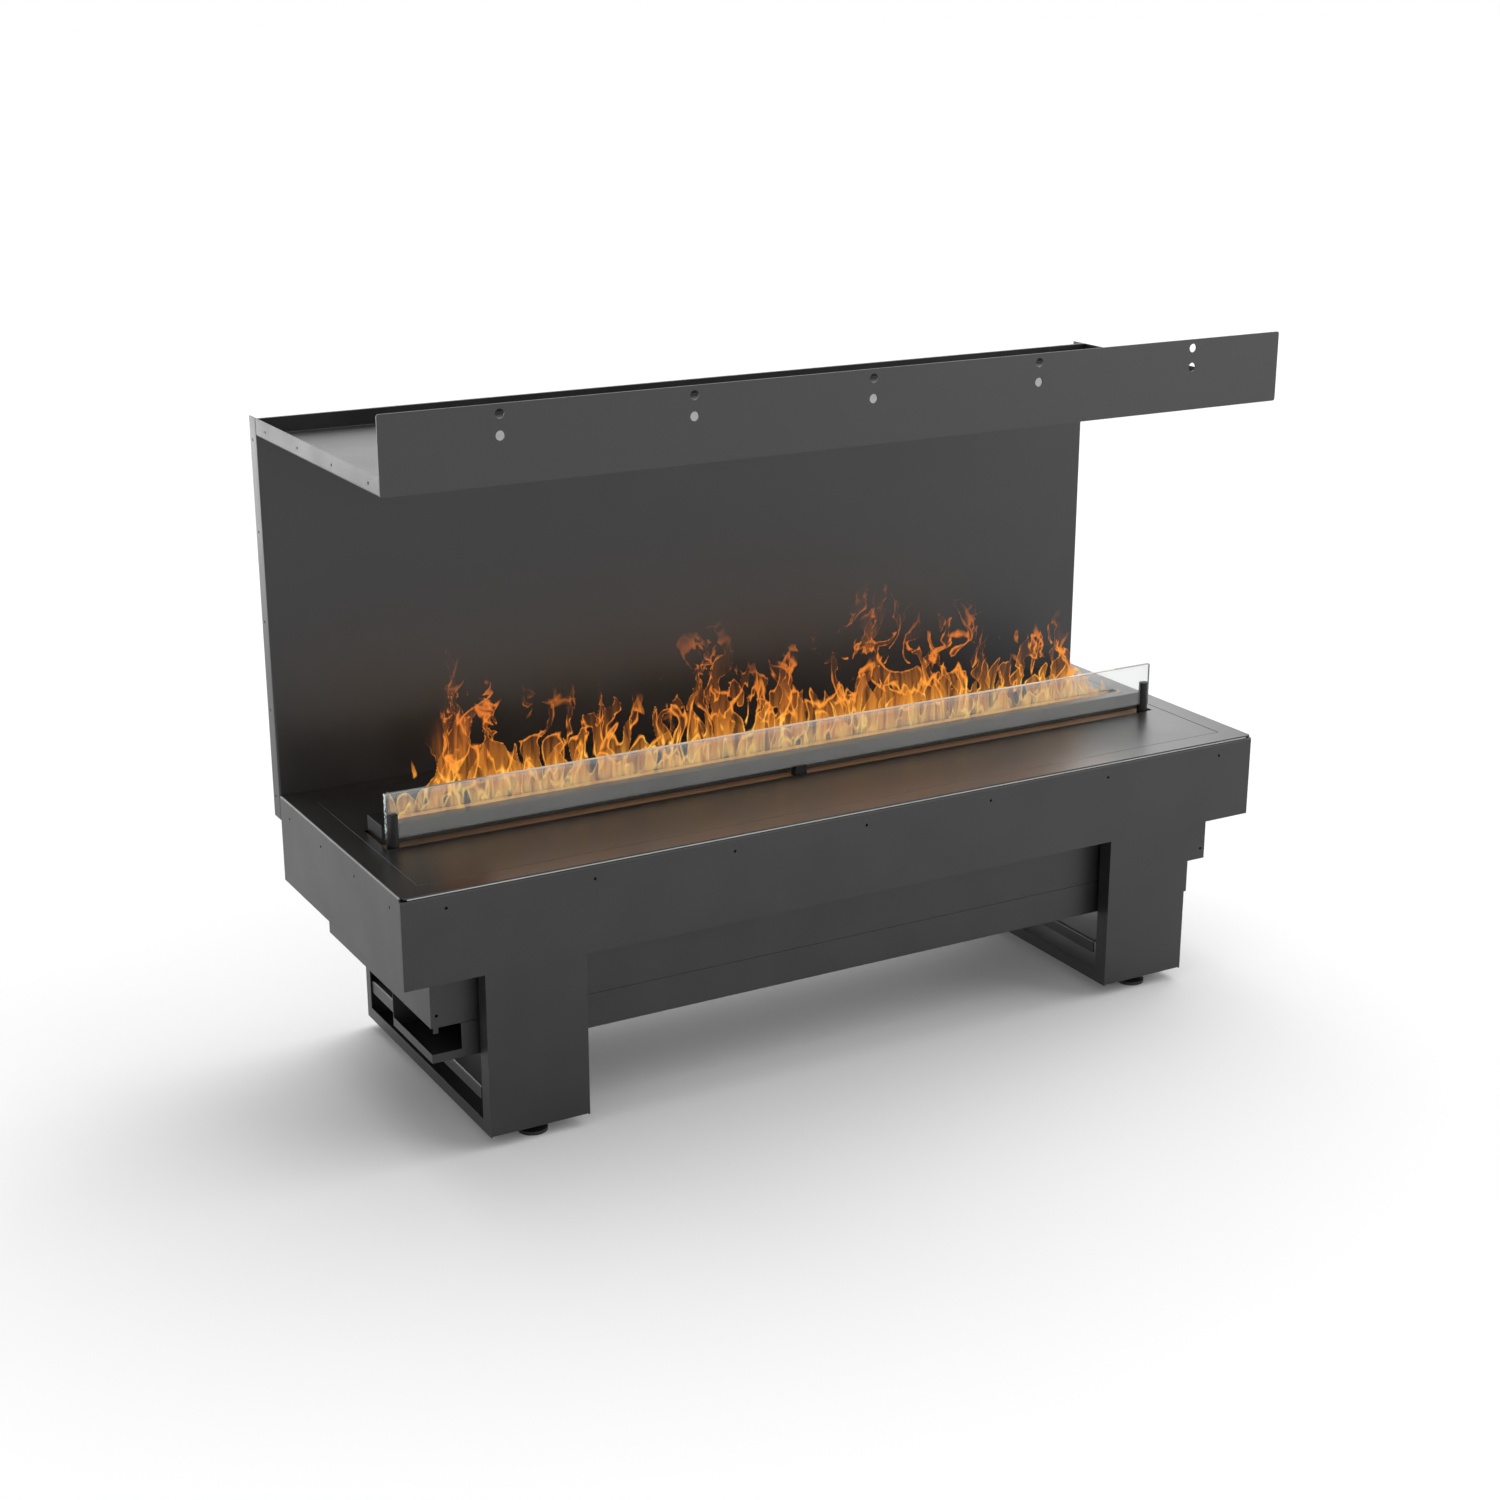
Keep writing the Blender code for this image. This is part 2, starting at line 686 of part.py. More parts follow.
def front_fascia(parent):
    """The board-like sheet above the opening, with its pairs of larger holes."""
    outline = rounded_rectangle((LEFT, CEILING), (RIGHT, CEILING + FASCIA_HEIGHT), FASCIA_CORNER)
    body = prism(outline, 1, FRONT, FRONT + SHEET)
    columns = row(LEFT + FASCIA_HOLE_MARGIN, RIGHT - FASCIA_HOLE_MARGIN, FASCIA_HOLE_PAIRS)
    low = CEILING + FASCIA_HOLE_LOW
    places = [(x, z) for x in columns for z in (low, low + FASCIA_HOLE_GAP)]
    cut = holes(places, 1, FASCIA_HOLE_RADIUS, FRONT - CUT_OVERRUN, FRONT + CUT_OVERRUN, ROUND_FACETS)
    return make_piece("front_fascia", black_powder_coat(), body, (), [cut], parent=parent)


def leg_spans():
    """The name and the X span of each leg."""
    left = (LEFT + LEG_INSET, LEFT + LEG_INSET + LEG_WIDTH)
    right = (RIGHT - LEG_INSET - LEG_WIDTH, RIGHT - LEG_INSET)
    return {"left": left, "right": right}


def foot_places(span):
    """The X of both feet of a leg, and the Y of each."""
    middle = (span[0] + span[1]) / 2
    return {"front": (middle, FRONT + FOOT_INSET), "rear": (middle, BACK - FOOT_INSET)}


def leg(side, span, parent):
    """A U frame of folded sheet: front upright, bottom and rear upright, with a flange along both edges."""
    front_top = DECK - SHEET - SKIRT_REVEAL - BEND - CLEARANCE
    rear_top = DECK - BEND - CLEARANCE
    path = [
        (INNER_BACK, rear_top),
        (INNER_BACK, LEG_BOTTOM),
        (INNER_FRONT, LEG_BOTTOM),
        (INNER_FRONT, front_top),
    ]
    plate = prism(bent_sheet(path, SHEET, BEND), 0, span[0], span[1])
    inner_low = LEG_BOTTOM + LEG_FOOT_FLANGE
    edge = [
        (INNER_FRONT, front_top),
        (INNER_FRONT, LEG_BOTTOM),
        (INNER_BACK, LEG_BOTTOM),
        (INNER_BACK, rear_top - BEND),
        (INNER_BACK - LEG_REAR_FLANGE, rear_top - BEND),
        (INNER_BACK - LEG_REAR_FLANGE, inner_low),
        (INNER_FRONT + LEG_FLANGE, inner_low),
        (INNER_FRONT + LEG_FLANGE, front_top),
    ]
    flanges = [prism(edge, 0, span[0], span[0] + SHEET), prism(edge, 0, span[1] - SHEET, span[1])]
    low = LEG_BOTTOM - CUT_OVERRUN
    high = LEG_BOTTOM + CUT_OVERRUN
    radius = STEM_RADIUS + CLEARANCE
    stem_holes = holes(foot_places(span).values(), 2, radius, low, high, ROUND_FACETS)
    return make_piece(f"leg_{side}", black_powder_coat(), plate, flanges, [stem_holes], parent=parent)


def leg_brace(side, span, parent):
    """The plate across the inside of a leg, with flanges folded down that stop short of the uprights."""
    left = span[0] + SHEET + CLEARANCE
    right = span[1] - SHEET - CLEARANCE
    top = DECK - BRACE_DROP
    low = top - BRACE_FLANGE
    front = INNER_FRONT + SHEET + CLEARANCE
    back = INNER_BACK - SHEET - CLEARANCE
    outline = bent_sheet([(left, low), (left, top), (right, top), (right, low)], SHEET, BEND)
    body = prism(outline, 1, front, back)
    stops = []
    spans = ((front - CUT_OVERRUN, FRONT + BRACE_FLANGE_STOP), (back - SHEET, back + CUT_OVERRUN))
    for start, end in spans:
        for inner, outer in ((left - CUT_OVERRUN, left + BEND), (right - BEND, right + CUT_OVERRUN)):
            stops.append(box((inner, start, low - CUT_OVERRUN), (outer, end, top + CUT_OVERRUN)))
    return make_piece(f"leg_brace_{side}", black_powder_coat(), body, (), [combined(stops)], parent=parent)


def levelling_foot(name, place, parent):
    """A round pad with a threaded stem, which screws up and down through the leg's bottom plate."""
    profile = [
        (0, 0),
        (FOOT_RADIUS, 0),
        (FOOT_RADIUS, FOOT_EDGE),
        (FOOT_TOP_RADIUS, FOOT_EDGE + FOOT_DOME),
        (STEM_RADIUS, FOOT_EDGE + FOOT_DOME),
        (STEM_RADIUS, FOOT_EDGE + FOOT_DOME + STEM_LENGTH),
        (0, FOOT_EDGE + FOOT_DOME + STEM_LENGTH),
    ]
    floor = LEG_BOTTOM - FOOT_REACH
    origin = (*place, LEG_BOTTOM)
    body = turned(profile, (*place, floor), FOOT_FACETS)
    carrier = guide(f"{name}_axis", origin, parent)
    return make_piece(name, black_plastic(), body, origin=origin, parent=carrier, smooth=True)


def foot_nut(name, place, parent):
    """The nut that the stem turns in, fixed on top of the leg's bottom plate."""
    low = LEG_BOTTOM + SHEET + CLEARANCE
    high = low + NUT_HEIGHT
    body = prism(circle(place, NUT_RADIUS, 6), 2, low, high)
    bore = rod(place, STEM_RADIUS + CLEARANCE, 2, low - CUT_OVERRUN, high + CUT_OVERRUN)
    return make_piece(name, zinc_steel(), body, (), [bore], parent=parent)


def ledge(side, parent):
    """The stepped bar under the deck that carries the insert's rim."""
    start = LEDGE_INSET
    middle = LEDGE_INSET + LEDGE_STEP
    end = INSERT_SIDE_INSET - CLEARANCE
    high = DECK - SHEET - CLEARANCE
    step = RIM_UNDERSIDE - CLEARANCE
    low = step - SHEET
    points = [(start, low), (end, low), (end, step), (middle, step), (middle, high), (start, high)]
    mirror = 1 if side == "left" else -1
    outline = [(mirror * (LEFT + across), z) for across, z in points]
    body = prism(outline, 1, FRONT + LEDGE_END_MARGIN, BACK - LEDGE_END_MARGIN)
    return make_piece(f"ledge_{side}", zinc_steel(), body, parent=parent)


def insert_housing(parent):
    """The tub that hangs through the deck, with a rim round its mouth."""
    rim_left = TUB_LEFT - RIM_OVERHANG
    rim_right = TUB_RIGHT + RIM_OVERHANG
    walls = box((TUB_LEFT, TUB_FRONT, TUB_BOTTOM), (TUB_RIGHT, TUB_BACK, RIM_TOP))
    rim = box((rim_left, TUB_FRONT, RIM_UNDERSIDE), (rim_right, TUB_BACK, RIM_TOP))
    tab_left = TUB_LEFT + TAB_INSET
    tab = box(
        (tab_left, TUB_FRONT + TAB_INSET, TUB_BOTTOM - TAB_DROP),
        (tab_left + TAB_WIDTH, TUB_FRONT + TAB_INSET + INSERT_SHEET, TUB_FLOOR),
    )
    hollow = box(
        (TUB_LEFT + INSERT_SHEET, TUB_FRONT + INSERT_SHEET, TUB_FLOOR),
        (TUB_RIGHT - INSERT_SHEET, TUB_BACK - INSERT_SHEET, RIM_UNDERSIDE),
    )
    mouth = box(
        (TUB_LEFT + RIM_END_WIDTH, TUB_FRONT + RIM_LONG_WIDTH, TUB_FLOOR + CUT_OVERRUN),
        (TUB_RIGHT - RIM_END_WIDTH, TUB_BACK - RIM_LONG_WIDTH, RIM_TOP + CUT_OVERRUN),
    )
    corner_z = TUB_BOTTOM + TUB_HOLE_RISE
    corners = [(TUB_LEFT + TUB_HOLE_INSET, corner_z), (TUB_RIGHT - TUB_HOLE_INSET, corner_z)]
    corner_holes = holes(corners, 1, SCREW_HOLE_RADIUS, TUB_FRONT - CUT_OVERRUN, TUB_FRONT + CUT_OVERRUN)
    half = INLET_BODY_WIDTH / 2 + CLEARANCE
    tall = INLET_BODY_HEIGHT / 2 + CLEARANCE
    inlet = box(
        (INLET_X - half, TUB_BACK - CUT_OVERRUN, INLET_Z - tall),
        (INLET_X + half, TUB_BACK + CUT_OVERRUN, INLET_Z + tall),
    )
    stub_radius = VALVE_STUB_RADIUS + CLEARANCE
    drain = rod(drain_stub(), stub_radius, 2, TUB_BOTTOM - CUT_OVERRUN, TUB_FLOOR + CUT_OVERRUN)
    cuts = [hollow, mouth, corner_holes, inlet, drain]
    return make_piece("insert_housing", black_powder_coat(), walls, [rim, tab], cuts, parent=parent)


def drain_stub():
    return (VALVE_X + VALVE_LENGTH / 2 - VALVE_STUB_INSET, VALVE_Y)


def lower_housing(parent):
    """The box under the tub. Its left end is open above a low lip."""
    left = TUB_LEFT
    right = RIGHT - LOWER_RIGHT_INSET
    back = TUB_FRONT + LOWER_DEPTH
    shell = box((left, TUB_FRONT, LOWER_BOTTOM), (right, back, LOWER_TOP))
    floor = LOWER_BOTTOM + INSERT_SHEET
    hollow = box(
        (left + INSERT_SHEET, TUB_FRONT + INSERT_SHEET, floor),
        (right - INSERT_SHEET, back - INSERT_SHEET, LOWER_TOP + CUT_OVERRUN),
    )
    window = box(
        (left - CUT_OVERRUN, TUB_FRONT - CUT_OVERRUN, LOWER_BOTTOM + LOWER_LIP),
        (left + LOWER_OPEN_LENGTH, TUB_FRONT + CUT_OVERRUN, LOWER_TOP + CUT_OVERRUN),
    )
    end = box(
        (left - CUT_OVERRUN, TUB_FRONT - CUT_OVERRUN, LOWER_BOTTOM + LOWER_LIP),
        (left + INSERT_SHEET + CLEARANCE, back - INSERT_SHEET, LOWER_TOP + CUT_OVERRUN),
    )
    return make_piece("lower_housing", black_powder_coat(), shell, (), [hollow, window, end], parent=parent)


def insert_cover(parent):
    """The flush plate round the burner, which lifts off the insert."""
    centre = (0, (COVER_FRONT + COVER_BACK) / 2, COVER_UNDERSIDE)
    plate = box(
        (LEFT + COVER_SIDE_INSET, COVER_FRONT, COVER_UNDERSIDE),
        (RIGHT - COVER_SIDE_INSET, COVER_BACK, DECK),
    )
    opening = box(
        (LEFT + SLOT_SIDE_INSET, FRONT + SLOT_FRONT_INSET, COVER_UNDERSIDE - CUT_OVERRUN),
        (RIGHT - SLOT_SIDE_INSET, FRONT + SLOT_FRONT_INSET + SLOT_DEPTH, DECK + CUT_OVERRUN),
    )
    carrier = guide("insert_cover_axis", centre, parent)
    return make_piece("insert_cover", black_powder_coat(), plate, (), [opening], centre, carrier)


def burner_trim(parent):
    """The dark strip in the cover's opening, folded down at both ends to the tub's walls."""
    left = TUB_LEFT + INSERT_SHEET + CLEARANCE
    right = TUB_RIGHT - INSERT_SHEET - CLEARANCE
    low = TRIM_TOP - TRIM_FOLD
    outline = bent_sheet([(left, low), (left, TRIM_TOP), (right, TRIM_TOP), (right, low)], SHEET, BEND)
    start = FRONT + SLOT_FRONT_INSET + CLEARANCE
    body = prism(outline, 1, start, FRONT + SLOT_FRONT_INSET + SLOT_DEPTH - CLEARANCE)
    burner_hole = box(
        (LEFT + BURNER_SIDE_INSET - CLEARANCE, BURNER_FRONT - CLEARANCE, TRIM_TOP - SHEET - CUT_OVERRUN),
        (RIGHT - BURNER_SIDE_INSET + CLEARANCE, BURNER_BACK + CLEARANCE, TRIM_TOP + CUT_OVERRUN),
    )
    return make_piece("burner_trim", black_enamel(), body, (), [burner_hole], parent=parent)


def burner_box(parent):
    """The raised box that the mist leaves through, open below, with the long flame slot in its top."""
    left = LEFT + BURNER_SIDE_INSET
    right = RIGHT - BURNER_SIDE_INSET
    shell = box((left, BURNER_FRONT, BURNER_BOTTOM), (right, BURNER_BACK, BURNER_TOP))
    hollow = box(
        (left + BURNER_WALL, BURNER_FRONT + BURNER_WALL, BURNER_BOTTOM - CUT_OVERRUN),
        (right - BURNER_WALL, BURNER_BACK - BURNER_WALL, BURNER_TOP - BURNER_WALL),
    )
    middle = (BURNER_FRONT + BURNER_BACK) / 2
    slot = box(
        (left + FLAME_SLOT_END, middle - FLAME_SLOT_WIDTH / 2, BURNER_TOP - BURNER_WALL - CUT_OVERRUN),
        (right - FLAME_SLOT_END, middle + FLAME_SLOT_WIDTH / 2, BURNER_TOP + CUT_OVERRUN),
    )
    return make_piece("burner_box", black_enamel(), shell, (), [hollow, slot], parent=parent)


def light_bar(name, wall_y, inward, parent):
    """A light bar inside the burner box, against one long wall."""
    left = LEFT + BURNER_SIDE_INSET + FLAME_SLOT_END
    right = RIGHT - BURNER_SIDE_INSET - FLAME_SLOT_END
    near = wall_y + inward * (BURNER_WALL + CLEARANCE)
    far = near + inward * LIGHT_BAR_WIDTH
    top = BURNER_TOP - BURNER_WALL - LIGHT_BAR_DROP
    body = box((left, min(near, far), top - LIGHT_BAR_HEIGHT), (right, max(near, far), top))
    return make_piece(name, light_strip(), body, parent=parent)


def post_places():
    return {"left": (LEFT + POST_INSET, POST_Y), "right": (RIGHT - POST_INSET, POST_Y)}


def glass_post(side, place, parent):
    """A round post with a deep slot that the glass drops into."""
    top = DECK + POST_RISE
    low = TRIM_TOP + CLEARANCE
    body = rod(place, POST_RADIUS, 2, low, top, FOOT_FACETS)
    half = GLASS_THICKNESS / 2 + GLASS_SLOT_PLAY
    slot = box(
        (place[0] - POST_RADIUS - CUT_OVERRUN, place[1] - half, GLASS_FOOT - CLEARANCE),
        (place[0] + POST_RADIUS + CUT_OVERRUN, place[1] + half, top + CUT_OVERRUN),
    )
    clamp_place = (place[0], DECK + CLAMP_RISE)
    clamp = rod(clamp_place, CLAMP_RADIUS + CLEARANCE, 1, place[1], place[1] + POST_RADIUS * 2)
    name = f"glass_post_{side}"
    return make_piece(name, black_enamel(), body, (), [slot, clamp], parent=parent, smooth=True)


def post_screw(side, place, parent):
    """The clamp screw in the rear of a post, which bears on the glass."""
    start = place[1] + GLASS_THICKNESS / 2 + CLEARANCE
    end = place[1] + POST_RADIUS + CLAMP_HEAD
    body = rod((place[0], DECK + CLAMP_RISE), CLAMP_RADIUS, 1, start, end, SMALL_FACETS)
    return make_piece(f"post_screw_{side}", zinc_steel(), body, parent=parent)


def glass_clip(parent):
    """The small support under the middle of the glass."""
    low = TRIM_TOP + CLEARANCE
    high = GLASS_FOOT + CLIP_GRIP
    reach = CLIP_LENGTH / 2
    depth = CLIP_DEPTH / 2
    body = box((-reach, POST_Y - depth, low), (reach, POST_Y + depth, high))
    half = GLASS_THICKNESS / 2 + GLASS_SLOT_PLAY
    start = (-CLIP_LENGTH, POST_Y - half, GLASS_FOOT - CLEARANCE)
    groove = box(start, (CLIP_LENGTH, POST_Y + half, high + CUT_OVERRUN))
    return make_piece("glass_clip", black_rubber(), body, (), [groove], parent=parent)


def glass_screen(parent):
    origin = (0, POST_Y, GLASS_FOOT)
    half = GLASS_THICKNESS / 2
    pane = box(
        (LEFT + GLASS_SIDE_INSET, POST_Y - half, GLASS_FOOT),
        (RIGHT - GLASS_SIDE_INSET, POST_Y + half, GLASS_FOOT + GLASS_HEIGHT),
    )
    carrier = guide("glass_screen_axis", origin, parent)
    return make_piece("glass_screen", clear_glass(), pane, origin=origin, parent=carrier)


def mist_tank(parent):
    """The long tray of the water that the transducers turn to mist, with a round hole for each fan."""
    left = LEFT + TANK_SIDE_INSET
    right = RIGHT - TANK_SIDE_INSET
    back = TANK_FRONT + TANK_DEPTH
    shell = box((left, TANK_FRONT, FLOOR_SEAT), (right, back, TANK_TOP))
    hollow = box(
        (left + TANK_WALL, TANK_FRONT + TANK_WALL, TANK_FLOOR),
        (right - TANK_WALL, back - TANK_WALL, TANK_TOP + CUT_OVERRUN),
    )
    places = [(x, fan_height()) for x in fan_row()]
    air = holes(places, 1, FAN_BORE, TANK_FRONT - CUT_OVERRUN, TANK_FRONT + CUT_OVERRUN, ROUND_FACETS)
    return make_piece("mist_tank", white_plastic(), shell, (), [hollow, air], parent=parent)


def fan_row():
    left = LEFT + TANK_SIDE_INSET + FAN_END_MARGIN
    return row(left, -left, FANS)


def fan_height():
    return TANK_TOP - FAN_BELOW_RIM


def mist_hood(parent):
    """The tapered duct from the mist tank's mouth up to the burner box."""
    top_z = BURNER_BOTTOM - CLEARANCE
    low_z = TANK_TOP + CLEARANCE
    rings = []
    for z, inset_x, front, back in (
        (low_z, TANK_SIDE_INSET, TANK_FRONT, TANK_FRONT + TANK_DEPTH),
        (top_z, BURNER_SIDE_INSET, BURNER_FRONT, BURNER_BACK),
    ):
        for wall in (0, HOOD_WALL):
            x = RIGHT - inset_x - wall
            near = front + wall
            far = back - wall
            rings.append([(-x, near, z), (x, near, z), (x, far, z), (-x, far, z)])
    work = bmesh.new()
    corners = [[work.verts.new(point) for point in ring] for ring in rings]
    low_outer, low_inner, top_outer, top_inner = corners
    walls = [(low_outer, top_outer), (top_outer, top_inner), (top_inner, low_inner), (low_inner, low_outer)]
    for first, second in walls:
        for index in range(4):
            following = (index + 1) % 4
            work.faces.new((first[index], first[following], second[following], second[index]))
    bmesh.ops.recalc_face_normals(work, faces=work.faces)
    return make_piece("mist_hood", white_plastic(), work, parent=parent)


def transducer_row():
    left = LEFT + TANK_SIDE_INSET + TRANSDUCER_END_MARGIN
    return row(left, -left, TRANSDUCERS)


def transducer(number, x, parent):
    """A round ultrasonic unit with a shallow dish on top."""
    place = (x, TANK_FRONT + TANK_DEPTH / 2, TANK_FLOOR + CLEARANCE)
    profile = [
        (0, 0),
        (TRANSDUCER_RADIUS, 0),
        (TRANSDUCER_RADIUS, TRANSDUCER_HEIGHT),
        (TRANSDUCER_DISC, TRANSDUCER_HEIGHT),
        (TRANSDUCER_DISC, TRANSDUCER_HEIGHT - TRANSDUCER_DISH),
        (0, TRANSDUCER_HEIGHT - TRANSDUCER_DISH),
    ]
    body = turned(profile, place, ROUND_FACETS)
    return make_piece(f"transducer_{number}", brass(), body, parent=parent, smooth=True)


def fan_frame(number, x, parent):
    """The square fan frame, with three struts that carry the motor."""
    back = TANK_FRONT - CLEARANCE
    front = back - FAN_THICKNESS
    z = fan_height()
    half = FAN_SIZE / 2
    body = box((x - half, front, z - half), (x + half, back, z + half))
    bore = rod((x, z), FAN_BORE, 1, front - CUT_OVERRUN, back + CUT_OVERRUN, FOOT_FACETS)
    frame = make_piece(f"fan_frame_{number}", black_plastic(), body, (), [bore], parent=parent)
    motor_front = back - FAN_MOTOR_DEPTH
    struts = rod((x, z), FAN_HUB, 1, motor_front, back, ROUND_FACETS)
    add_boolean(frame, struts, (0, 0, 0), "UNION", 2)
    for turn in range(3):
        add_boolean(frame, fan_strut(x, z, turn, motor_front, back), (0, 0, 0), "UNION", 3 + turn)
    return frame


def fan_strut(x, z, turn, start, end):
    """One radial strut, from inside the motor to inside the frame."""
    angle = math.pi / 2 + turn * 2 * math.pi / 3
    along = (math.cos(angle), math.sin(angle))
    across = (-along[1] * FAN_STRUT / 2, along[0] * FAN_STRUT / 2)
    near = FAN_HUB - FAN_STRUT
    far = FAN_BORE + FAN_STRUT / 4
    outline = []
    for reach, side in ((near, -1), (far, -1), (far, 1), (near, 1)):
        outline.append((x + along[0] * reach + across[0] * side, z + along[1] * reach + across[1] * side))
    return prism(outline, 1, start, end)


def fan_rotor(number, x, parent):
    """A hub with pitched blades, on the fan's axis."""
    z = fan_height()
    back = TANK_FRONT - CLEARANCE - FAN_MOTOR_DEPTH - FAN_ROTOR_GAP
    front = TANK_FRONT - CLEARANCE - FAN_THICKNESS + FAN_ROTOR_GAP
    origin = (x, (front + back) / 2, z)
    hub = rod((x, z), FAN_HUB, 1, front, back, ROUND_FACETS)
    blades = [fan_blade(origin, turn, (back - front) / 2) for turn in range(FAN_BLADES)]
    carrier = guide(f"fan_rotor_{number}_axis", origin, parent)
    return make_piece(f"fan_rotor_{number}", black_plastic(), hub, blades, (), origin, carrier)


def fan_blade(centre, turn, half_depth):
    """A flat blade, pitched about its own length, from inside the hub to just inside the bore."""
    angle = turn * 2 * math.pi / FAN_BLADES
    pitch = math.radians(FAN_BLADE_PITCH)
    radial = (math.cos(angle), 0, math.sin(angle))
    tangent = (-math.sin(angle), 0, math.cos(angle))
    chord = [tangent[axis] * math.sin(pitch) for axis in range(3)]
    chord[1] = math.cos(pitch)
    normal = [tangent[axis] * math.cos(pitch) for axis in range(3)]
    normal[1] = -math.sin(pitch)
    half_chord = half_depth - FAN_BLADE_THICKNESS
    work = bmesh.new()
    rings = []
    for reach in (FAN_HUB - FAN_BLADE_THICKNESS, FAN_BLADE_TIP):
        ring = []
        for u, v in ((-1, -1), (1, -1), (1, 1), (-1, 1)):
            point = []
            for axis in range(3):
                across = chord[axis] * u * half_chord + normal[axis] * v * FAN_BLADE_THICKNESS / 2
                point.append(centre[axis] + radial[axis] * reach + across)
            ring.append(work.verts.new(point))
        rings.append(ring)
    work.faces.new(rings[0])
    work.faces.new(list(reversed(rings[1])))
    for index in range(4):
        following = (index + 1) % 4
        work.faces.new((rings[0][index], rings[1][index], rings[1][following], rings[0][following]))
    bmesh.ops.recalc_face_normals(work, faces=work.faces)
    return work


def float_place():
    return (RIGHT - FLOAT_END_INSET, TANK_FRONT + TANK_DEPTH / 2)


def float_stem(parent):
    """The level switch's stem, with a wide base and a stop at its top."""
    stop = FLOAT_BASE_HEIGHT + FLOAT_HEIGHT + FLOAT_TRAVEL + CLEARANCE * 2
    profile = [
        (0, 0),
        (FLOAT_BASE_RADIUS, 0),
        (FLOAT_BASE_RADIUS, FLOAT_BASE_HEIGHT),
        (FLOAT_STEM_RADIUS, FLOAT_BASE_HEIGHT),
        (FLOAT_STEM_RADIUS, stop),
        (FLOAT_STOP_RADIUS, stop),
        (FLOAT_STOP_RADIUS, stop + FLOAT_STOP_HEIGHT),
        (0, stop + FLOAT_STOP_HEIGHT),
    ]
    body = turned(profile, (*float_place(), TANK_FLOOR + CLEARANCE), ROUND_FACETS)
    return make_piece("float_stem", white_plastic(), body, parent=parent, smooth=True)


def level_float(parent):
    """The ring that floats up and down the stem."""
    place = float_place()
    low = TANK_FLOOR + CLEARANCE + FLOAT_BASE_HEIGHT + CLEARANCE
    origin = (*place, low)
    body = rod(place, FLOAT_RADIUS, 2, low, low + FLOAT_HEIGHT)
    bore = rod(place, FLOAT_BORE, 2, low - CUT_OVERRUN, low + FLOAT_HEIGHT + CUT_OVERRUN, ROUND_FACETS)
    carrier = guide("level_float_axis", origin, parent)
    return make_piece("level_float", black_plastic(), body, (), [bore], origin, carrier)


def neck_place():
    return (WATER_LEFT + NECK_INSET, WATER_Y)


def water_tank(parent):
    """The reservoir, with an open filler neck on top."""
    high = (WATER_RIGHT, WATER_BACK, WATER_TOP)
    shell = box((WATER_LEFT, WATER_FRONT, FLOOR_SEAT), high)
    hollow = box(
        (WATER_LEFT + WATER_WALL, WATER_FRONT + WATER_WALL, FLOOR_SEAT + WATER_WALL),
        (high[0] - WATER_WALL, high[1] - WATER_WALL, WATER_TOP - WATER_WALL),
    )
    neck = rod(neck_place(), NECK_RADIUS, 2, WATER_TOP - WATER_WALL / 2, WATER_TOP + NECK_HEIGHT)
    bore_start = WATER_TOP - WATER_WALL - CUT_OVERRUN
    bore = rod(neck_place(), NECK_BORE, 2, bore_start, WATER_TOP + NECK_HEIGHT + CUT_OVERRUN)
    return make_piece("water_tank", white_plastic(), shell, [neck], [hollow, bore], parent=parent)


def filler_cap(parent):
    """The cap over the neck, with a grip bar on top."""
    place = neck_place()
    top = WATER_TOP + NECK_HEIGHT + CLEARANCE
    low = top + CAP_TOP - CAP_HEIGHT
    origin = (*place, top)
    body = rod(place, CAP_RADIUS, 2, low, top + CAP_TOP, FOOT_FACETS)
    grip = box(
        (place[0] - CAP_RADIUS + CAP_GRIP / 2, place[1] - CAP_GRIP / 2, top + CAP_TOP / 2),
        (place[0] + CAP_RADIUS - CAP_GRIP / 2, place[1] + CAP_GRIP / 2, top + CAP_TOP + CAP_GRIP),
    )
    hollow = rod(place, NECK_RADIUS + CLEARANCE, 2, low - CUT_OVERRUN, top, FOOT_FACETS)
    carrier = guide("filler_cap_axis", origin, parent)
    return make_piece("filler_cap", black_plastic(), body, [grip], [hollow], origin, carrier)


def pump(parent):
    """The pump beside the water tank: a square body, a round motor, and one port to each tank."""
    half = PUMP_SIZE / 2
    centre = PUMP_LEFT + half
    top = FLOOR_SEAT + PUMP_HEIGHT
    body = box((PUMP_LEFT, WATER_Y - half, FLOOR_SEAT), (PUMP_LEFT + PUMP_SIZE, WATER_Y + half, top))
    motor = rod((centre, WATER_Y), PUMP_MOTOR_RADIUS, 2, top - CUT_OVERRUN, top + PUMP_MOTOR_HEIGHT)
    port_z = FLOOR_SEAT + PUMP_PORT_RISE
    inlet = rod((WATER_Y, port_z), PUMP_PORT_RADIUS, 0, WATER_RIGHT + CLEARANCE, PUMP_LEFT + CUT_OVERRUN)
    outlet_start = WATER_Y + half - CUT_OVERRUN
    outlet = rod((centre, port_z), PUMP_PORT_RADIUS, 1, outlet_start, WATER_Y + half + PUMP_PORT_LENGTH)
    return make_piece("pump", black_plastic(), body, [motor, inlet, outlet], (), parent=parent)


def pump_hose(parent):
    """The short hose that is pushed over the pump's port and ends at the mist tank."""
    half = PUMP_SIZE / 2
    place = (PUMP_LEFT + half, FLOOR_SEAT + PUMP_PORT_RISE)
    start = WATER_Y + half + CLEARANCE
    end = TANK_FRONT - CLEARANCE
    body = rod(place, HOSE_RADIUS, 1, start, end)
    bore = rod(place, PUMP_PORT_RADIUS + CLEARANCE, 1, start - CUT_OVERRUN, end + CUT_OVERRUN)
    return make_piece("pump_hose", black_rubber(), body, (), [bore], parent=parent)


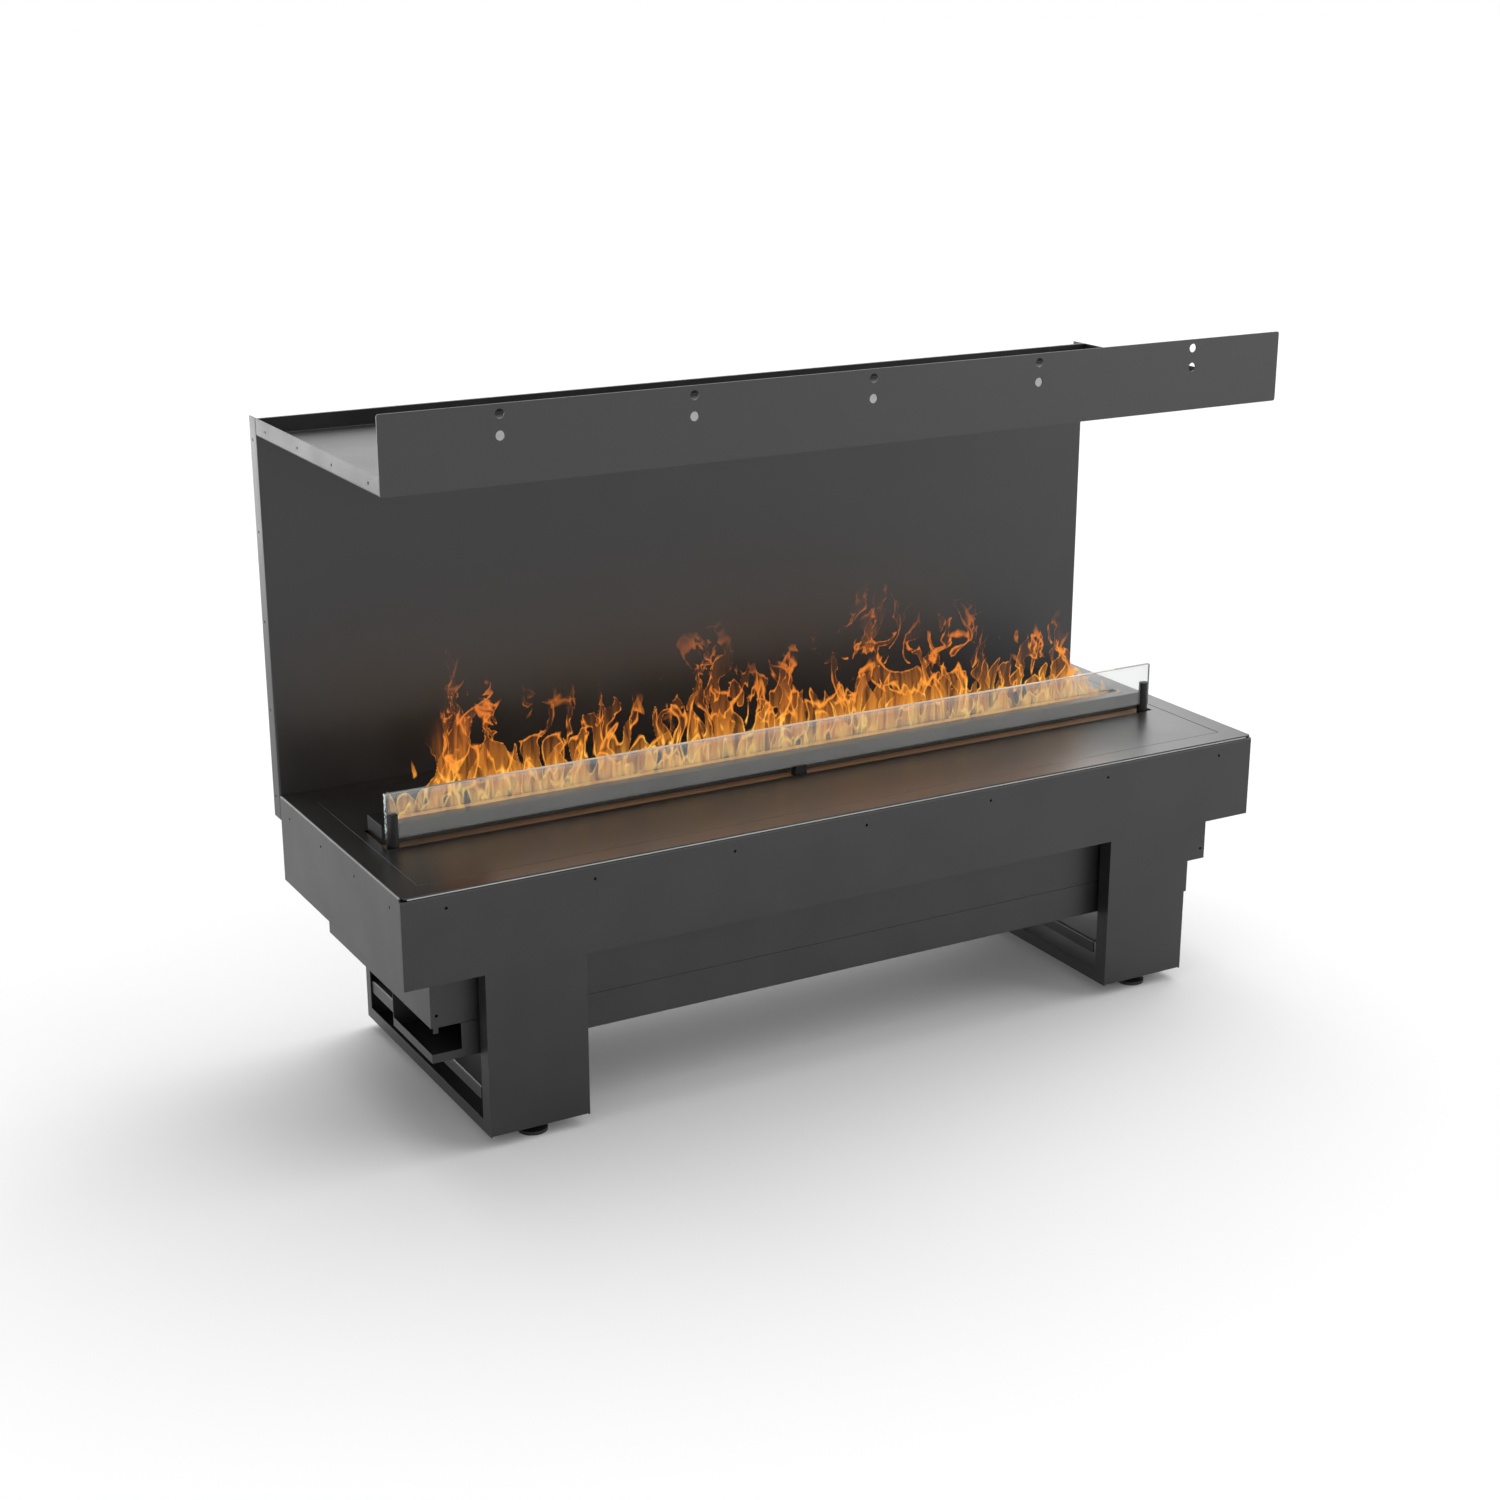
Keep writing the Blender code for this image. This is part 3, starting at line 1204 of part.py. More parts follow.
def control_span():
    half = CONTROL_DEPTH / 2
    high = (CONTROL_LEFT + CONTROL_LENGTH, ELECTRICS_Y + half, FLOOR_SEAT + CONTROL_HEIGHT)
    return (CONTROL_LEFT, ELECTRICS_Y - half, FLOOR_SEAT), high


def board_corners():
    """The places of the board's four standoffs."""
    low, high = control_span()
    inset = INSERT_SHEET + BOARD_MARGIN + STANDOFF_RADIUS
    return [(x, y) for x in (low[0] + inset, high[0] - inset) for y in (low[1] + inset, high[1] - inset)]


def control_box(parent):
    """The open sheet box for the electronics, with four standoffs."""
    low, high = control_span()
    wall = INSERT_SHEET
    shell = box(low, high)
    hollow = box(
        (low[0] + wall, low[1] + wall, low[2] + wall),
        (high[0] - wall, high[1] - wall, high[2] + CUT_OVERRUN),
    )
    piece = make_piece("control_box", galvanised_steel(), shell, (), [hollow], parent=parent)
    base = low[2] + wall
    for number, place in enumerate(board_corners(), 2):
        standoff = rod(place, STANDOFF_RADIUS, 2, base - wall / 2, base + STANDOFF_HEIGHT, SMALL_FACETS)
        add_boolean(piece, standoff, (0, 0, 0), "UNION", number)
    return piece


def control_lid(parent):
    low, high = control_span()
    base = high[2] + CLEARANCE
    plate = box((low[0], low[1], base), (high[0], high[1], base + INSERT_SHEET))
    return make_piece("control_lid", galvanised_steel(), plate, parent=parent)


def circuit_board(parent):
    """The board on its standoffs, with a heat sink, two chips and a row of capacitors."""
    low, high = control_span()
    inset = INSERT_SHEET + BOARD_MARGIN
    base = low[2] + INSERT_SHEET + STANDOFF_HEIGHT + CLEARANCE
    top = base + BOARD_THICKNESS
    board = box((low[0] + inset, low[1] + inset, base), (high[0] - inset, high[1] - inset, top))
    middle = (low[1] + high[1]) / 2
    buried = top - BOARD_THICKNESS / 2
    parts = []
    for share, half, height in [
        (SINK_PLACE_SHARE, SINK_SIZE / 2, SINK_HEIGHT),
        *((place_share, CHIP_SIZE / 2, CHIP_HEIGHT) for place_share in CHIP_PLACE_SHARES),
    ]:
        x = low[0] + CONTROL_LENGTH * share
        parts.append(box((x - half, middle - half, buried), (x + half, middle + half, top + height)))
    for side in (-1, 1):
        place = (low[0] + CONTROL_LENGTH * CAPACITOR_PLACE_SHARE, middle + side * SINK_SIZE / 2)
        parts.append(rod(place, CAPACITOR_RADIUS, 2, buried, top + SINK_HEIGHT, SMALL_FACETS))
    return make_piece("circuit_board", board_green(), board, parts, (), parent=parent)


def power_supply(parent):
    """The supply's case, with a row of vents across its top."""
    right = SUPPLY_LEFT + SUPPLY_LENGTH
    front = ELECTRICS_Y - SUPPLY_DEPTH / 2
    back = ELECTRICS_Y + SUPPLY_DEPTH / 2
    top = FLOOR_SEAT + SUPPLY_HEIGHT
    body = box((SUPPLY_LEFT, front, FLOOR_SEAT), (right, back, top))
    margin = SUPPLY_LENGTH / SUPPLY_VENTS / 2
    half = SUPPLY_VENT_WIDTH / 2
    vents = []
    for x in row(SUPPLY_LEFT + margin, right - margin, SUPPLY_VENTS):
        low = (x - half, front + margin, top - SUPPLY_VENT_DEPTH)
        vents.append(box(low, (x + half, back - margin, top + CUT_OVERRUN)))
    return make_piece("power_supply", galvanised_steel(), body, (), [combined(vents)], parent=parent)


def power_inlet(parent):
    """The mains inlet in the tub's rear wall, with a three-pin socket and the switch's pocket."""
    half = INLET_FLANGE_WIDTH / 2
    tall = INLET_FLANGE_HEIGHT / 2
    near = TUB_BACK + CLEARANCE
    face = near + INLET_FLANGE_THICKNESS
    flange = box((INLET_X - half, near, INLET_Z - tall), (INLET_X + half, face, INLET_Z + tall))
    body_half = INLET_BODY_WIDTH / 2
    body_tall = INLET_BODY_HEIGHT / 2
    body = box(
        (INLET_X - body_half, face - INLET_BODY_DEPTH, INLET_Z - body_tall),
        (INLET_X + body_half, near + CLEARANCE, INLET_Z + body_tall),
    )
    socket_x = INLET_X + SOCKET_OFFSET
    socket = box(
        (socket_x - SOCKET_WIDTH / 2, face - SOCKET_DEPTH, INLET_Z - SOCKET_HEIGHT / 2),
        (socket_x + SOCKET_WIDTH / 2, face + CUT_OVERRUN, INLET_Z + SOCKET_HEIGHT / 2),
    )
    rocker_x = INLET_X - ROCKER_OFFSET
    wide = ROCKER_WIDTH / 2 + ROCKER_PLAY
    high = ROCKER_HEIGHT / 2 + ROCKER_PLAY
    pocket = box(
        (rocker_x - wide, face - ROCKER_POCKET, INLET_Z - high),
        (rocker_x + wide, face + CUT_OVERRUN, INLET_Z + high),
    )
    piece = make_piece("power_inlet", black_plastic(), flange, [body], [socket, pocket], parent=parent)
    root = face - SOCKET_DEPTH - PIN_WIDTH
    tip = root + PIN_REACH
    for number, step in enumerate((-1, 0, 1), 3):
        x = socket_x + step * PIN_SPACING
        z = INLET_Z - step * step * PIN_WIDTH
        low = (x - PIN_WIDTH / 2, root, z - PIN_HEIGHT / 2)
        pin = box(low, (x + PIN_WIDTH / 2, tip, z + PIN_HEIGHT / 2))
        add_boolean(piece, pin, (0, 0, 0), "UNION", number)
    return piece


def rocker_switch(parent):
    """The rocker, tipped to one side at rest, on a cross axis in its pocket."""
    face = TUB_BACK + CLEARANCE + INLET_FLANGE_THICKNESS
    x = INLET_X - ROCKER_OFFSET
    origin = (x, face - ROCKER_BODY / 2, INLET_Z)
    half = ROCKER_WIDTH / 2
    tall = ROCKER_HEIGHT / 2
    crown = ROCKER_BODY / 2
    outline = [
        (-crown, -crown),
        (-crown, crown),
        (crown / 2, tall - ROCKER_PLAY),
        (crown, tall - ROCKER_PLAY),
        (crown - ROCKER_PLAY, 0),
        (crown, -tall + ROCKER_PLAY),
        (crown / 2, -tall + ROCKER_PLAY),
    ]
    placed = [(origin[1] + y, origin[2] + z) for y, z in outline]
    body = prism(placed, 0, x - half, x + half)
    carrier = guide("rocker_switch_axis", origin, parent)
    piece = make_piece("rocker_switch", black_plastic(), body, origin=origin, parent=carrier)
    piece.rotation_euler = (math.radians(-ROCKER_TILT), 0, 0)
    return piece


def power_lead(parent):
    """The lead inside the tub, from the inlet's back round the mist tank's end to the supply."""
    start_y = TUB_BACK + CLEARANCE + INLET_FLANGE_THICKNESS - INLET_BODY_DEPTH - CLEARANCE
    far_x = RIGHT - LEAD_RIGHT_INSET
    supply_x = SUPPLY_LEFT + SUPPLY_LENGTH + CLEARANCE
    resting = FLOOR_SEAT + LEAD_RADIUS
    port_z = FLOOR_SEAT + LEAD_RISE
    rear_y = start_y - LEAD_TURN
    corners = [
        (INLET_X, start_y, INLET_Z),
        (INLET_X, rear_y, INLET_Z),
        (INLET_X + LEAD_TURN * 2, rear_y, resting),
        (far_x, rear_y, resting),
        (far_x, ELECTRICS_Y + LEAD_TURN * 2, resting),
        (far_x, ELECTRICS_Y, port_z),
        (supply_x, ELECTRICS_Y, port_z),
    ]
    curve = bpy.data.curves.new("power_lead", "CURVE")
    curve.dimensions = "3D"
    curve.bevel_depth = LEAD_RADIUS
    curve.bevel_resolution = 2
    curve.use_fill_caps = True
    points = rounded_route(corners)
    spline = curve.splines.new("POLY")
    spline.points.add(len(points) - 1)
    for place, point in zip(spline.points, points):
        place.co.xyz = point
    curve.materials.append(black_rubber())
    lead = bpy.data.objects.new("power_lead", curve)
    bpy.context.scene.collection.objects.link(lead)
    place_under(lead, (0, 0, 0), parent)
    return lead


def rounded_route(corners):
    """The points of a route whose corners are rounded by a quadratic curve."""
    points = [corners[0]]
    for before, corner, after in zip(corners, corners[1:], corners[2:]):
        start = toward(corner, before, LEAD_TURN)
        end = toward(corner, after, LEAD_TURN)
        for step in range(LEAD_STEPS + 1):
            share = step / LEAD_STEPS
            point = []
            for axis in range(3):
                leg_one = start[axis] * (1 - share) + corner[axis] * share
                leg_two = corner[axis] * (1 - share) + end[axis] * share
                point.append(leg_one * (1 - share) + leg_two * share)
            points.append(tuple(point))
    points.append(corners[-1])
    return points


def toward(start, end, distance):
    length = math.dist(start, end)
    reach = min(distance, length * LEAD_TURN_SHARE)
    return [start[axis] + (end[axis] - start[axis]) * reach / length for axis in range(3)]


def drain_valve(parent):
    """The valve under the water tank. Its outlet points left, and its stub goes up through the tub."""
    start = VALVE_X - VALVE_LENGTH / 2
    end = VALVE_X + VALVE_LENGTH / 2
    body = rod((VALVE_Y, VALVE_Z), VALVE_RADIUS, 0, start, end)
    stub = rod(drain_stub(), VALVE_STUB_RADIUS, 2, VALVE_Z, FLOOR_SEAT - CLEARANCE)
    boss = rod((VALVE_X, VALVE_Y), VALVE_BOSS_RADIUS, 2, VALVE_Z, VALVE_Z + VALVE_RADIUS + VALVE_BOSS_RISE)
    bore = rod((VALVE_Y, VALVE_Z), VALVE_BORE, 0, start - CUT_OVERRUN, VALVE_X - VALVE_BOSS_RADIUS)
    return make_piece("drain_valve", brass(), body, [stub, boss], [bore], parent=parent)


def drain_lever(parent):
    """The lever on top of the valve, which points to the open end at rest."""
    low = VALVE_Z + VALVE_RADIUS + VALVE_BOSS_RISE + CLEARANCE
    high = low + LEVER_THICKNESS
    origin = (VALVE_X, VALVE_Y, low)
    hub = rod((VALVE_X, VALVE_Y), LEVER_PIVOT_RADIUS, 2, low, high)
    half = LEVER_WIDTH / 2
    arm = box((VALVE_X - LEVER_LENGTH, VALVE_Y - half, low), (VALVE_X, VALVE_Y + half, high))
    carrier = guide("drain_lever_axis", origin, parent)
    return make_piece("drain_lever", zinc_steel(), hub, [arm], (), origin, carrier)


def build_casing(parent):
    casing_base(parent)
    front_skirt(parent)
    skirt_seal(parent)
    back_panel(parent)
    hood_tray(parent)
    front_fascia(parent)
    for side, span in leg_spans().items():
        leg(side, span, parent)
        leg_brace(side, span, parent)
        ledge(side, parent)
        for end, place in foot_places(span).items():
            levelling_foot(f"foot_{side}_{end}", place, parent)
            foot_nut(f"foot_nut_{side}_{end}", place, parent)


def build_insert(parent):
    insert_housing(parent)
    lower_housing(parent)
    insert_cover(parent)
    burner_trim(parent)
    burner_box(parent)
    light_bar("light_bar_front", BURNER_FRONT, 1, parent)
    light_bar("light_bar_rear", BURNER_BACK, -1, parent)
    for side, place in post_places().items():
        glass_post(side, place, parent)
        post_screw(side, place, parent)
    glass_clip(parent)
    glass_screen(parent)
    build_mist_maker(parent)
    build_water_and_power(parent)


def build_mist_maker(parent):
    mist_tank(parent)
    mist_hood(parent)
    for number, x in enumerate(transducer_row(), 1):
        transducer(number, x, parent)
    for number, x in enumerate(fan_row(), 1):
        fan_frame(number, x, parent)
        fan_rotor(number, x, parent)
    float_stem(parent)
    level_float(parent)


def build_water_and_power(parent):
    water_tank(parent)
    filler_cap(parent)
    pump(parent)
    pump_hose(parent)
    control_box(parent)
    control_lid(parent)
    circuit_board(parent)
    power_supply(parent)
    power_inlet(parent)
    rocker_switch(parent)
    power_lead(parent)
    drain_valve(parent)
    drain_lever(parent)


def main():
    clear_scene()
    casing = guide("casing_axis", (0, 0, 0))
    insert = guide("insert_axis", (0, (COVER_FRONT + COVER_BACK) / 2, RIM_UNDERSIDE), casing)
    build_casing(casing)
    build_insert(insert)


main()
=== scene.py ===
# %% [markdown]
# # A three-sided fireplace
# The object is a steel casing that is open at the front and at both ends. A deck with a glass strip carries
# a long slot, and mist that is lit from below rises from the slot and looks like flames. The sizes come
# from a imported CAD model, and this script gives it its looks. It starts by loading that model as a fixed
# frame.

# %% Load the frame
import json
import math

import bmesh
import bpy
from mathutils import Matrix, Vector


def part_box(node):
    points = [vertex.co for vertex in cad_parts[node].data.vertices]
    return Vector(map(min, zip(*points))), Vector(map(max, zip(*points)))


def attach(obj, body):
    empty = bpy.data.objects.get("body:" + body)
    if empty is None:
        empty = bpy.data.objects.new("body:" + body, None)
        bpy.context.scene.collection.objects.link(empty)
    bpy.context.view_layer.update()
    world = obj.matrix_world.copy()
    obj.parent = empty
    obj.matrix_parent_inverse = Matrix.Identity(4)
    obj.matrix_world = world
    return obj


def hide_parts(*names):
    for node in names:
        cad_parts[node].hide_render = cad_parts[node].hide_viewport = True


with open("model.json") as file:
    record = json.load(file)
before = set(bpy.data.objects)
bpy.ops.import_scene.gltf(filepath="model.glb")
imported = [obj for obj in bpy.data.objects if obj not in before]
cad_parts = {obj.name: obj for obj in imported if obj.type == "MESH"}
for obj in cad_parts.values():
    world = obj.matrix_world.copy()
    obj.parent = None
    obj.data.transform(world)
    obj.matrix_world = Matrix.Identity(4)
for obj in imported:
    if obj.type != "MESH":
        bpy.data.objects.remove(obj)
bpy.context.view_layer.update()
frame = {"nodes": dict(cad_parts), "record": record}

NODES = frame["nodes"]

# %% [markdown]
# Most pieces are placed from a few planes of the object: the two ends, the front, the top of the deck and
# the slot that the mist rises from. They are read from the frame's own boxes, and so they follow the model.

# %% Planes of the object
MM = 0.001
(LEFT, FRONT, _), (RIGHT, BACK, DECK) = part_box("casing_base")
BURNER_LOW, BURNER_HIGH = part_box("burner_box")
SLOT_Y = (BURNER_LOW[1] + BURNER_HIGH[1]) / 2
GLASS_LOW, GLASS_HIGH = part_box("glass_screen")
print("deck", round(DECK, 4), "slot", round(SLOT_Y, 4), "glass", GLASS_LOW, GLASS_HIGH)

# %% [markdown]
# The camera comes first, because every later choice is judged through it. The photograph's straight edges
# gave its place, its two angles and its lens. It stands to the left of the object, above the deck, and
# looks down by 18 degrees.

# %% Camera
CAMERA_PLACE = (-1.6288, -2.79415, 1.4398)
DOWNWARD, SIDEWARD = 18.08, -29.49
LENS, SENSOR_WIDTH = 57.3, 36
camera_data = bpy.data.cameras.new("studio_camera")
camera_data.lens = LENS
camera_data.sensor_width = SENSOR_WIDTH
camera = bpy.data.objects.new("studio_camera", camera_data)
camera.location = CAMERA_PLACE
camera.rotation_euler = (math.radians(90 - DOWNWARD), 0, math.radians(SIDEWARD))
bpy.context.scene.collection.objects.link(camera)
bpy.context.scene.camera = camera
print("camera", tuple(round(v, 3) for v in camera.location))

# %% [markdown]
# Every material below is a small network of nodes. One function adds a node, sets its options, and gives
# each input either a value or the socket that feeds it. Where only the node's first output is of use, a
# short form gives that. Colours are written in hex, as a painter would, and turned into the linear numbers
# that the renderer adds up. A size in millimetres is turned into the scale of a texture.

# %% Helpers for node networks
MATH, VECTOR, TIMES = "ShaderNodeMath", "ShaderNodeVectorMath", {"operation": "MULTIPLY"}
RANGE, SMOOTH = "ShaderNodeMapRange", {"interpolation_type": "SMOOTHSTEP"}


def feed(tree, node, inputs):
    """Gives each input its value, or links the socket that feeds it."""
    for name, value in inputs.items():
        if isinstance(value, bpy.types.NodeSocket):
            tree.links.new(value, node.inputs[name])
        else:
            node.inputs[name].default_value = value


def add_node(tree, kind, inputs=None, **options):
    """Adds a node with its options and its inputs."""
    made = tree.nodes.new(kind)
    for name, value in options.items():
        setattr(made, name, value)
    feed(tree, made, inputs or {})
    return made


def result(tree, kind, *values, **options):
    """The first output of a new node, whose first inputs are these values or sockets."""
    return add_node(tree, kind, dict(enumerate(values)), **options).outputs[0]


def colour(text):
    """The linear colour of an sRGB hex value."""
    shares = [int(text[start:start + 2], 16) / 255 for start in (1, 3, 5)]
    return (*(s / 12.92 if s <= 0.04045 else ((s + 0.055) / 1.055) ** 2.4 for s in shares), 1)


def per_metre(millimetres):
    """The scale of a texture whose features have this size, on coordinates in metres."""
    return 1 / (millimetres * MM)


def new_material(name):
    """An empty node material with its principled shader, and the place of each point on the piece."""
    made = bpy.data.materials.new(name)
    made.use_nodes = True
    tree = made.node_tree
    tree.nodes.clear()
    shader = add_node(tree, "ShaderNodeBsdfPrincipled")
    add_node(tree, "ShaderNodeOutputMaterial", {"Surface": shader.outputs["BSDF"]})
    return made, tree, shader, add_node(tree, "ShaderNodeTexCoord").outputs["Object"]


def two_tones(tree, share, dark, light, low=0.0, high=1.0):
    """A colour between two tones, which are reached where a share is low and where it is high."""
    made = add_node(tree, "ShaderNodeValToRGB", {"Fac": share})
    for stop, position, text in zip(made.color_ramp.elements, (low, high), (dark, light)):
        stop.position, stop.color = position, colour(text)
    return made.outputs["Color"]


print("powder black", [round(v, 4) for v in colour("#1b1b1d")])

# %% [markdown]
# Almost everything that shows is folded steel sheet with a black powder coat. Polyester powder melts into a
# skin that is satin, not glossy, with a fine orange peel. The coat itself is nearly black, so what the eye
# sees is mostly the soft reflection of the room, which grows where a face is seen at a low angle. The peel
# on the real sheet is well under a millimetre. It is drawn about twice as coarse here, so that it still
# shows.

# %% Black powder coat
BROAD_GRAIN = 60


def moulded_finish(name, base, spread, roughness, grain, depth, metallic=0.0, specular=0.5):
    """A finish whose colour, roughness and surface vary at the size of its grain, in millimetres."""
    made, tree, shader, place = new_material(name)
    fine = add_node(tree, "ShaderNodeTexNoise", {"Vector": place, "Scale": per_metre(grain), "Detail": 3.0})
    fine = fine.outputs["Fac"]
    broad = add_node(tree, "ShaderNodeTexNoise", {
        "Vector": place, "Scale": per_metre(grain * BROAD_GRAIN), "Detail": 2.0}).outputs["Fac"]
    both = result(tree, MATH, fine, broad, operation="ADD")
    share = result(tree, MATH, both, 0.5, **TIMES)
    feed(tree, shader, {
        "Base Color": two_tones(tree, share, base, spread, 0.38, 0.62),
        "Roughness": result(tree, RANGE, share, 0.35, 0.65, *roughness),
        "Normal": add_node(tree, "ShaderNodeBump", {
            "Height": fine, "Strength": 1.0, "Distance": depth * MM}).outputs["Normal"],
        "Metallic": metallic, "Specular IOR Level": specular})
    return made


POWDER_COAT = moulded_finish(
    "black_powder_coat", "#141415", "#202022", (0.38, 0.48), 1.6, 0.05, specular=0.55)
DECK_COAT = moulded_finish(
    "satin_black_deck_coat", "#171615", "#232120", (0.28, 0.36), 1.6, 0.03, specular=0.8)
print(POWDER_COAT.name, DECK_COAT.name)

# %% [markdown]
# The burner box, the trim round it and the two posts carry a heat-proof enamel, which is baked on in a
# thin, smooth layer. Posts and box are black and a little glossier than the sheets. Seen through the glass,
# the box's front is a plain grey, so it gets an enamel of its own. The trim in front of it lies in shade,
# and its light brown is a painted reflection of the fire's warm glow.

# %% Heat-proof enamels
ENAMEL = moulded_finish("black_heatproof_enamel", "#0d0d0d", "#151515", (0.30, 0.38), 2.5, 0.008)
GREY_ENAMEL = moulded_finish("grey_heatproof_enamel", "#3c3c38", "#484843", (0.36, 0.44), 2.5, 0.006)
# The trim's light brown is a painted reflection of the fire's glow on a strip that lies in shade.
FIRE_GLOW_ENAMEL = moulded_finish("brown_heatproof_enamel", "#7a604a", "#886e58", (0.34, 0.42), 2.5, 0.008)
print(ENAMEL.name, GREY_ENAMEL.name, FIRE_GLOW_ENAMEL.name)

# %% [markdown]
# The rest are finishes of the inner pieces, which show when the insert and its cover are lifted out. Zinc
# plating is a bright, thin, slightly blue metal skin. Hot-dip galvanising leaves flat crystals, the
# spangle, several millimetres across, so it gets a cell pattern instead of noise. Brass is turned and then
# left plain.

# %% Metals
ZINC = moulded_finish("zinc_plated_steel", "#a9adb0", "#c2c4c4", (0.28, 0.42), 3.0, 0.02, metallic=1.0)
BRASS = moulded_finish("turned_brass", "#9c7b3f", "#b8975a", (0.22, 0.34), 2.0, 0.02, metallic=1.0)


def galvanised():
    made, tree, shader, place = new_material("galvanised_sheet")
    cells = add_node(tree, "ShaderNodeTexVoronoi", {"Vector": place, "Scale": per_metre(9)})
    grey = result(tree, "ShaderNodeRGBToBW", cells.outputs["Color"])
    feed(tree, shader, {
        "Base Color": two_tones(tree, grey, "#8b8f92", "#b3b6b8"),
        "Roughness": result(tree, RANGE, grey, 0.0, 1.0, 0.34, 0.55),
        "Normal": add_node(tree, "ShaderNodeBump", {
            "Height": cells.outputs["Distance"], "Strength": 0.4, "Distance": 0.05 * MM}).outputs["Normal"],
        "Metallic": 1.0})
    return made


GALVANISED = galvanised()
print(ZINC.name, BRASS.name, GALVANISED.name)

# %% [markdown]
# The plastics and the rubber are moulded. ABS has the fine spark-eroded texture of its mould, and
# polypropylene is smoother. The rubber of hoses and leads is matt and slightly dusty. The cord in front is
# silicone, and its pale grey is partly a painted highlight along the front edge.

# %% Plastics and rubber
ABS = moulded_finish("black_moulded_abs", "#141415", "#1f1f20", (0.38, 0.52), 0.9, 0.04)
POLYPROPYLENE = moulded_finish("white_polypropylene", "#d3d3cd", "#dededa", (0.34, 0.46), 1.8, 0.03)
RUBBER = moulded_finish("matt_rubber", "#121212", "#1c1c1b", (0.62, 0.8), 1.2, 0.05, specular=0.3)
# The cord's pale grey is partly a painted highlight: the light line along the deck's front edge.
PALE_SILICONE_HIGHLIGHT = moulded_finish("grey_silicone_cord", "#b4b4b0", "#c6c6c2", (0.45, 0.6), 2.0, 0.03)
print(ABS.name, POLYPROPYLENE.name, RUBBER.name, PALE_SILICONE_HIGHLIGHT.name)

# %% [markdown]
# The circuit board is glass-fibre laminate under green solder mask. Its copper tracks show through the mask
# as slightly lighter lines, so a brick pattern of fine, long cells stands in for them. The light bars in
# the burner have a frosted cover over a row of light sources, which shows as soft amber dots along the bar.

# %% Circuit board and light bars
LIGHT_SPACING = 16


def solder_mask():
    made, tree, shader, place = new_material("green_solder_mask")
    tracks = add_node(tree, "ShaderNodeTexBrick", {
        "Vector": place, "Scale": per_metre(60),
        "Mortar Size": 0.012, "Brick Width": 0.5, "Row Height": 0.06,
        "Color1": colour("#0c3a1d"), "Color2": colour("#104424"), "Mortar": colour("#2c7a45")})
    feed(tree, shader, {
        "Base Color": tracks.outputs["Color"], "Roughness": 0.32,
        "Normal": add_node(tree, "ShaderNodeBump", {
            "Height": tracks.outputs["Fac"], "Strength": 0.5, "Distance": 0.03 * MM}).outputs["Normal"]})
    return made


def frosted_strip():
    made, tree, shader, place = new_material("frosted_light_strip")
    along = result(tree, "ShaderNodeSeparateXYZ", place)
    turn = result(tree, MATH, along, 2 * math.pi * per_metre(LIGHT_SPACING), **TIMES)
    wave = result(tree, MATH, turn, operation="SINE")
    feed(tree, shader, {
        "Base Color": colour("#e8c79a"), "Emission Color": colour("#ff9a3c"), "Roughness": 0.5,
        "Emission Strength": result(tree, RANGE, wave, -1.0, 1.0, 0.15, 0.4)})
    return made


SOLDER_MASK = solder_mask()
LIGHT_STRIP = frosted_strip()
print(SOLDER_MASK.name, LIGHT_STRIP.name)

# %% [markdown]
# Each node of the CAD model that stays as it is gets its finish now. Small plates and screws are zinc
# plated, boxes are galvanised, the mist makers are brass, and tanks are polypropylene.

# %% Finishes of the carried-over nodes
CORNERS = ("left_front", "left_rear", "right_front", "right_rear")
FANS = (1, 2, 3)
FINISHES = {
    ENAMEL: ["glass_post_left", "glass_post_right"],
    ZINC: ["ledge_left", "ledge_right", "post_screw_left", "post_screw_right", "drain_lever",
           *(f"foot_nut_{corner}" for corner in CORNERS)],
    BRASS: ["transducer_1", "transducer_2", "transducer_3", "drain_valve"],
    GALVANISED: ["control_box", "control_lid", "power_supply"],
    ABS: ["filler_cap", "level_float", "pump", "power_inlet", "rocker_switch",
          *(f"foot_{corner}" for corner in CORNERS),
          *(f"fan_{part}_{number}" for part in ("frame", "rotor") for number in FANS)],
    POLYPROPYLENE: ["mist_tank", "mist_hood", "water_tank", "float_stem"],
    RUBBER: ["glass_clip", "pump_hose", "power_lead"],
    SOLDER_MASK: ["circuit_board"],
    LIGHT_STRIP: ["light_bar_front", "light_bar_rear"],
}


def give_finish(piece, finish):
    """Puts one material in every slot of a piece."""
    piece.data.materials.clear()
    piece.data.materials.append(finish)


for finish, names in FINISHES.items():
    for name in names:
        give_finish(NODES[name], finish)
print("finished", sum(len(names) for names in FINISHES.values()), "of", len(NODES), "nodes")

# %% [markdown]
# The sheet-metal pieces are made again as fuller copies. A real folded sheet has no knife edges: its cut
# edges are broken by a fraction of a millimetre before coating, and that narrow rounding is what draws the
# fine light lines along every edge. A Bevel modifier does this well, once the copy's loose triangles have
# been merged into whole faces. The deck's top is a glossier coat than its skirts, and only the burner's
# front is grey, so these two copies carry a second finish.

# %% Sheet-metal pieces with broken edges
MERGE, FLAT_WITHIN, SHARP_OVER = 0.01 * MM, math.radians(0.5), math.radians(50)
SHEET_EDGE, BURNER_EDGE = 0.45, 0.4
BODY_OF = {name: body for body, names in frame["record"]["behaviour"]["bodies"].items() for name in names}


def link(name, data):
    """A new object with this mesh, curve, lamp or camera, in the scene."""
    piece = bpy.data.objects.new(name, data)
    bpy.context.scene.collection.objects.link(piece)
    return piece


def to_mesh(work, name):
    """Turns worked-on geometry into a mesh."""
    mesh = bpy.data.meshes.new(name)
    work.to_mesh(mesh)
    work.free()
    return mesh


def applied(piece):
    """Turns the modified shape of a piece into its plain mesh."""
    graph = bpy.context.evaluated_depsgraph_get()
    mesh = bpy.data.meshes.new_from_object(piece.evaluated_get(graph), depsgraph=graph)
    piece.modifiers.clear()
    piece.data = mesh
    mesh.name = piece.name
    return piece


